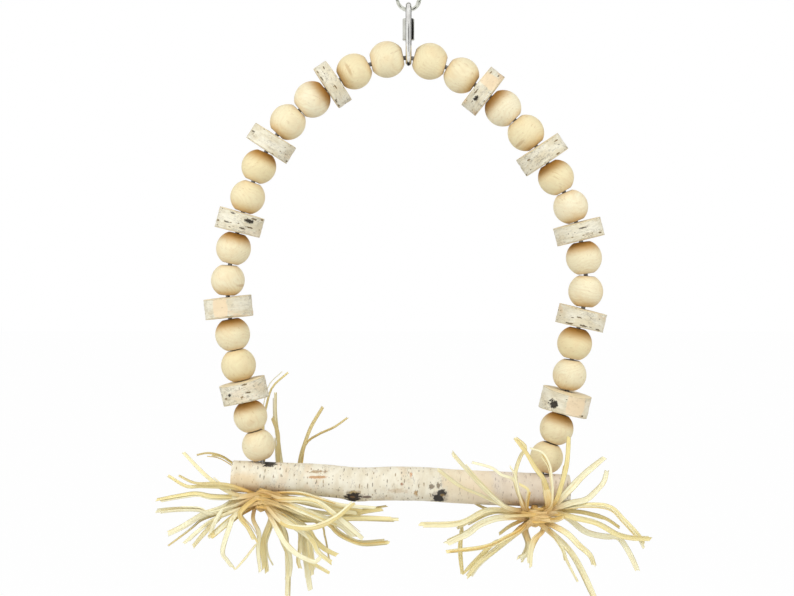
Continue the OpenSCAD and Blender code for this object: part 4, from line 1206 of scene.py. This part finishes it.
def makeTie(side, sideNo, pattern, material):
    look = raffiaLook
    middle = look["middles"][sideNo]
    chance = random.Random(70 + sideNo)
    meshes = []
    for number, out in enumerate((-1, 1)):
        start = chance.uniform(0, fullTurn)
        places = []
        for i in range(tieLook["places"]):
            share = i / (tieLook["places"] - 1)
            angle = start + 2 * math.pi * tieLook["turns"] * share
            radius = look["bunch"] + tieLook["clear"] + tieLook["build"] * share
            level = tieLook["pitch"] * (share - 0.5) * tieLook["turns"] * 0.55
            level += tieLook["clear"] * math.sin(angle + out)
            places.append(middle + Vector((out * look["tieX"] + level, radius * math.cos(angle),
                                           radius * math.sin(angle))))
        meshes.append(shapeStrip(pattern, tieLook["steps"], places, tieLook["wide"] / 2, chance, 0.05,
                                 number + 3, lambda spot: tieLook["near"], fray=0.25,
                                 facing=lambda spot: outFrom(middle, spot).normalized()))
    tie = joinMeshes(f"{side}Tie", meshes, material)
    thicken(tie, tieLook["thick"])
    smoothBelow(tie, 60)
    standFor(tie, "arch", "tie_raffia", f"{side}_tie")


stripPattern = makeStripPattern(raffiaLook["steps"], raffiaLook["across"])
tiePattern = makeStripPattern(tieLook["steps"], raffiaLook["across"])
dryRaffia = makeRaffiaStraw("dryRaffia", "FDF6CC", "F6E49A", "DFB24A", "CBD0A8")
paleRaffia = makeRaffiaStraw("paleTieRaffia", "FFFAE6", "FAF0D0", "EED8A6", "E0DDC4")
for sideNo, side in enumerate(sides):
    makeTuft(side, sideNo, (leftStrips, rightStrips)[sideNo], stripPattern, dryRaffia)
    makeTie(side, sideNo, tiePattern, paleRaffia)
for pattern in (stripPattern, tiePattern):
    dropPattern(pattern)
print("raffia made")


# Stage, light and camera

stageLook = {
    "floorAt": -0.43, "floorSize": 8, "floorWhite": 0.985, "ambient": 0.49,
    # lamp: place, size, power, colour
    "lamps": (((-0.46, -0.34, 0.08), 0.4, 1.8, (0.94, 1.0, 1.1)),
              ((0.46, -0.34, 0.08), 0.4, 1.7, (0.94, 1.0, 1.1)),
              ((-0.2, -0.9, 0.7), 0.8, 2.4, (1.02, 1.0, 0.96))),
    # cards that only polished steel sees: place, turn in degrees, size, shade
    "cards": (((0.5, 0.45, 0.0), (90, 0, 90), (0.8, 1.2), 0.02),
              ((-0.5, 0.55, 0.0), (90, 0, 90), (0.8, 1.2), 0.02),
              ((0.02, -0.95, 0.0), (90, 0, 0), (0.24, 0.24), 0.02),
              ((0.02, -0.95, 0.15), (90, 0, 0), (0.9, 0.06), 0.45),
              ((0, 0.45, -0.4), (0, 0, 0), (0.6, 0.8), 0.02),
              ((0.4, -0.235, 0.0), (90, 0, 60), (0.14, 0.6), 0.01)),
    "aim": (0, 0, -0.17),
}
cameraLook = {"place": (-0.0048, -0.7, -0.1435), "lens": 56.68, "shift": (-0.0037, -0.0541)}


def seenDirectly(tree):
    # 1 for what the camera, polished steel or glass sees
    path = tree.nodes.new("ShaderNodeLightPath").outputs
    return calc(tree, "MAXIMUM", path["Is Camera Ray"],
                calc(tree, "MAXIMUM", path["Is Glossy Ray"], path["Is Transmission Ray"]))


def whiteFor(tree, factor, shader, output, share):
    glow = tree.nodes.new("ShaderNodeEmission" if output.node.type == "OUTPUT_MATERIAL"
                          else "ShaderNodeBackground")
    glow.inputs["Color"].default_value = (1, 1, 1, 1)
    glow.inputs["Strength"].default_value = 1.0
    mixed = tree.nodes.new("ShaderNodeMixShader")
    feed(tree, mixed.inputs[0], calc(tree, "MULTIPLY", factor, share))
    feed(tree, mixed.inputs[1], shader)
    feed(tree, mixed.inputs[2], glow.outputs[0])
    feed(tree, output, mixed.outputs[0])


def makePaper(name, shade):
    material, tree, shader = newMaterial(name)
    shader["Base Color"].default_value = (shade, shade, shade, 1)
    shader["Roughness"].default_value = 0.9
    return material, tree


def makeStage():
    clearSelection()
    bpy.ops.mesh.primitive_plane_add(size=stageLook["floorSize"], location=(0, 0, stageLook["floorAt"]))
    floor = bpy.context.object
    floor.name = "paleFloor"
    material, tree = makePaper("palePaper", 0.9)
    whiteFor(tree, seenDirectly(tree), tree.nodes["Principled BSDF"].outputs[0],
             tree.nodes["Material Output"].inputs["Surface"], stageLook["floorWhite"])
    floor.data.materials.append(material)
    for number, (place, turn, size, shade) in enumerate(stageLook["cards"]):
        bpy.ops.mesh.primitive_plane_add(size=1, location=place, rotation=[math.radians(a) for a in turn])
        card = bpy.context.object
        card.name = f"card{number}"
        card.scale = (*size, 1)
        card.visible_camera = card.visible_diffuse = card.visible_shadow = False
        card.data.materials.append(makePaper(f"card{number}Paper", shade)[0])
    world = bpy.data.worlds.new("studio")
    bpy.context.scene.world = world
    world.use_nodes = True
    tree = world.node_tree
    ambient = tree.nodes["Background"]
    ambient.inputs["Color"].default_value = (1, 1, 1, 1)
    ambient.inputs["Strength"].default_value = stageLook["ambient"]
    whiteFor(tree, seenDirectly(tree), ambient.outputs[0], tree.nodes["World Output"].inputs["Surface"], 1.0)
    for number, (place, size, power, colour) in enumerate(stageLook["lamps"]):
        bpy.ops.object.light_add(type="AREA", location=place)
        lamp = bpy.context.object
        lamp.name = f"lamp{number}"
        lamp.data.size, lamp.data.energy, lamp.data.color = size, power, colour
        lamp.visible_glossy = False
        toward = Vector(stageLook["aim"]) - Vector(place)
        lamp.rotation_euler = toward.to_track_quat("-Z", "Y").to_euler()


def makeCamera():
    clearSelection()
    bpy.ops.object.camera_add(location=cameraLook["place"], rotation=(math.pi / 2, 0, 0))
    camera = bpy.context.object
    camera.data.lens = cameraLook["lens"]
    camera.data.shift_x, camera.data.shift_y = cameraLook["shift"]
    camera.data.clip_start, camera.data.clip_end = 0.05, 30
    bpy.context.scene.camera = camera


makeStage()
makeCamera()
bpy.context.scene.view_settings.view_transform = "Standard"
print("stage, lamps and camera set")
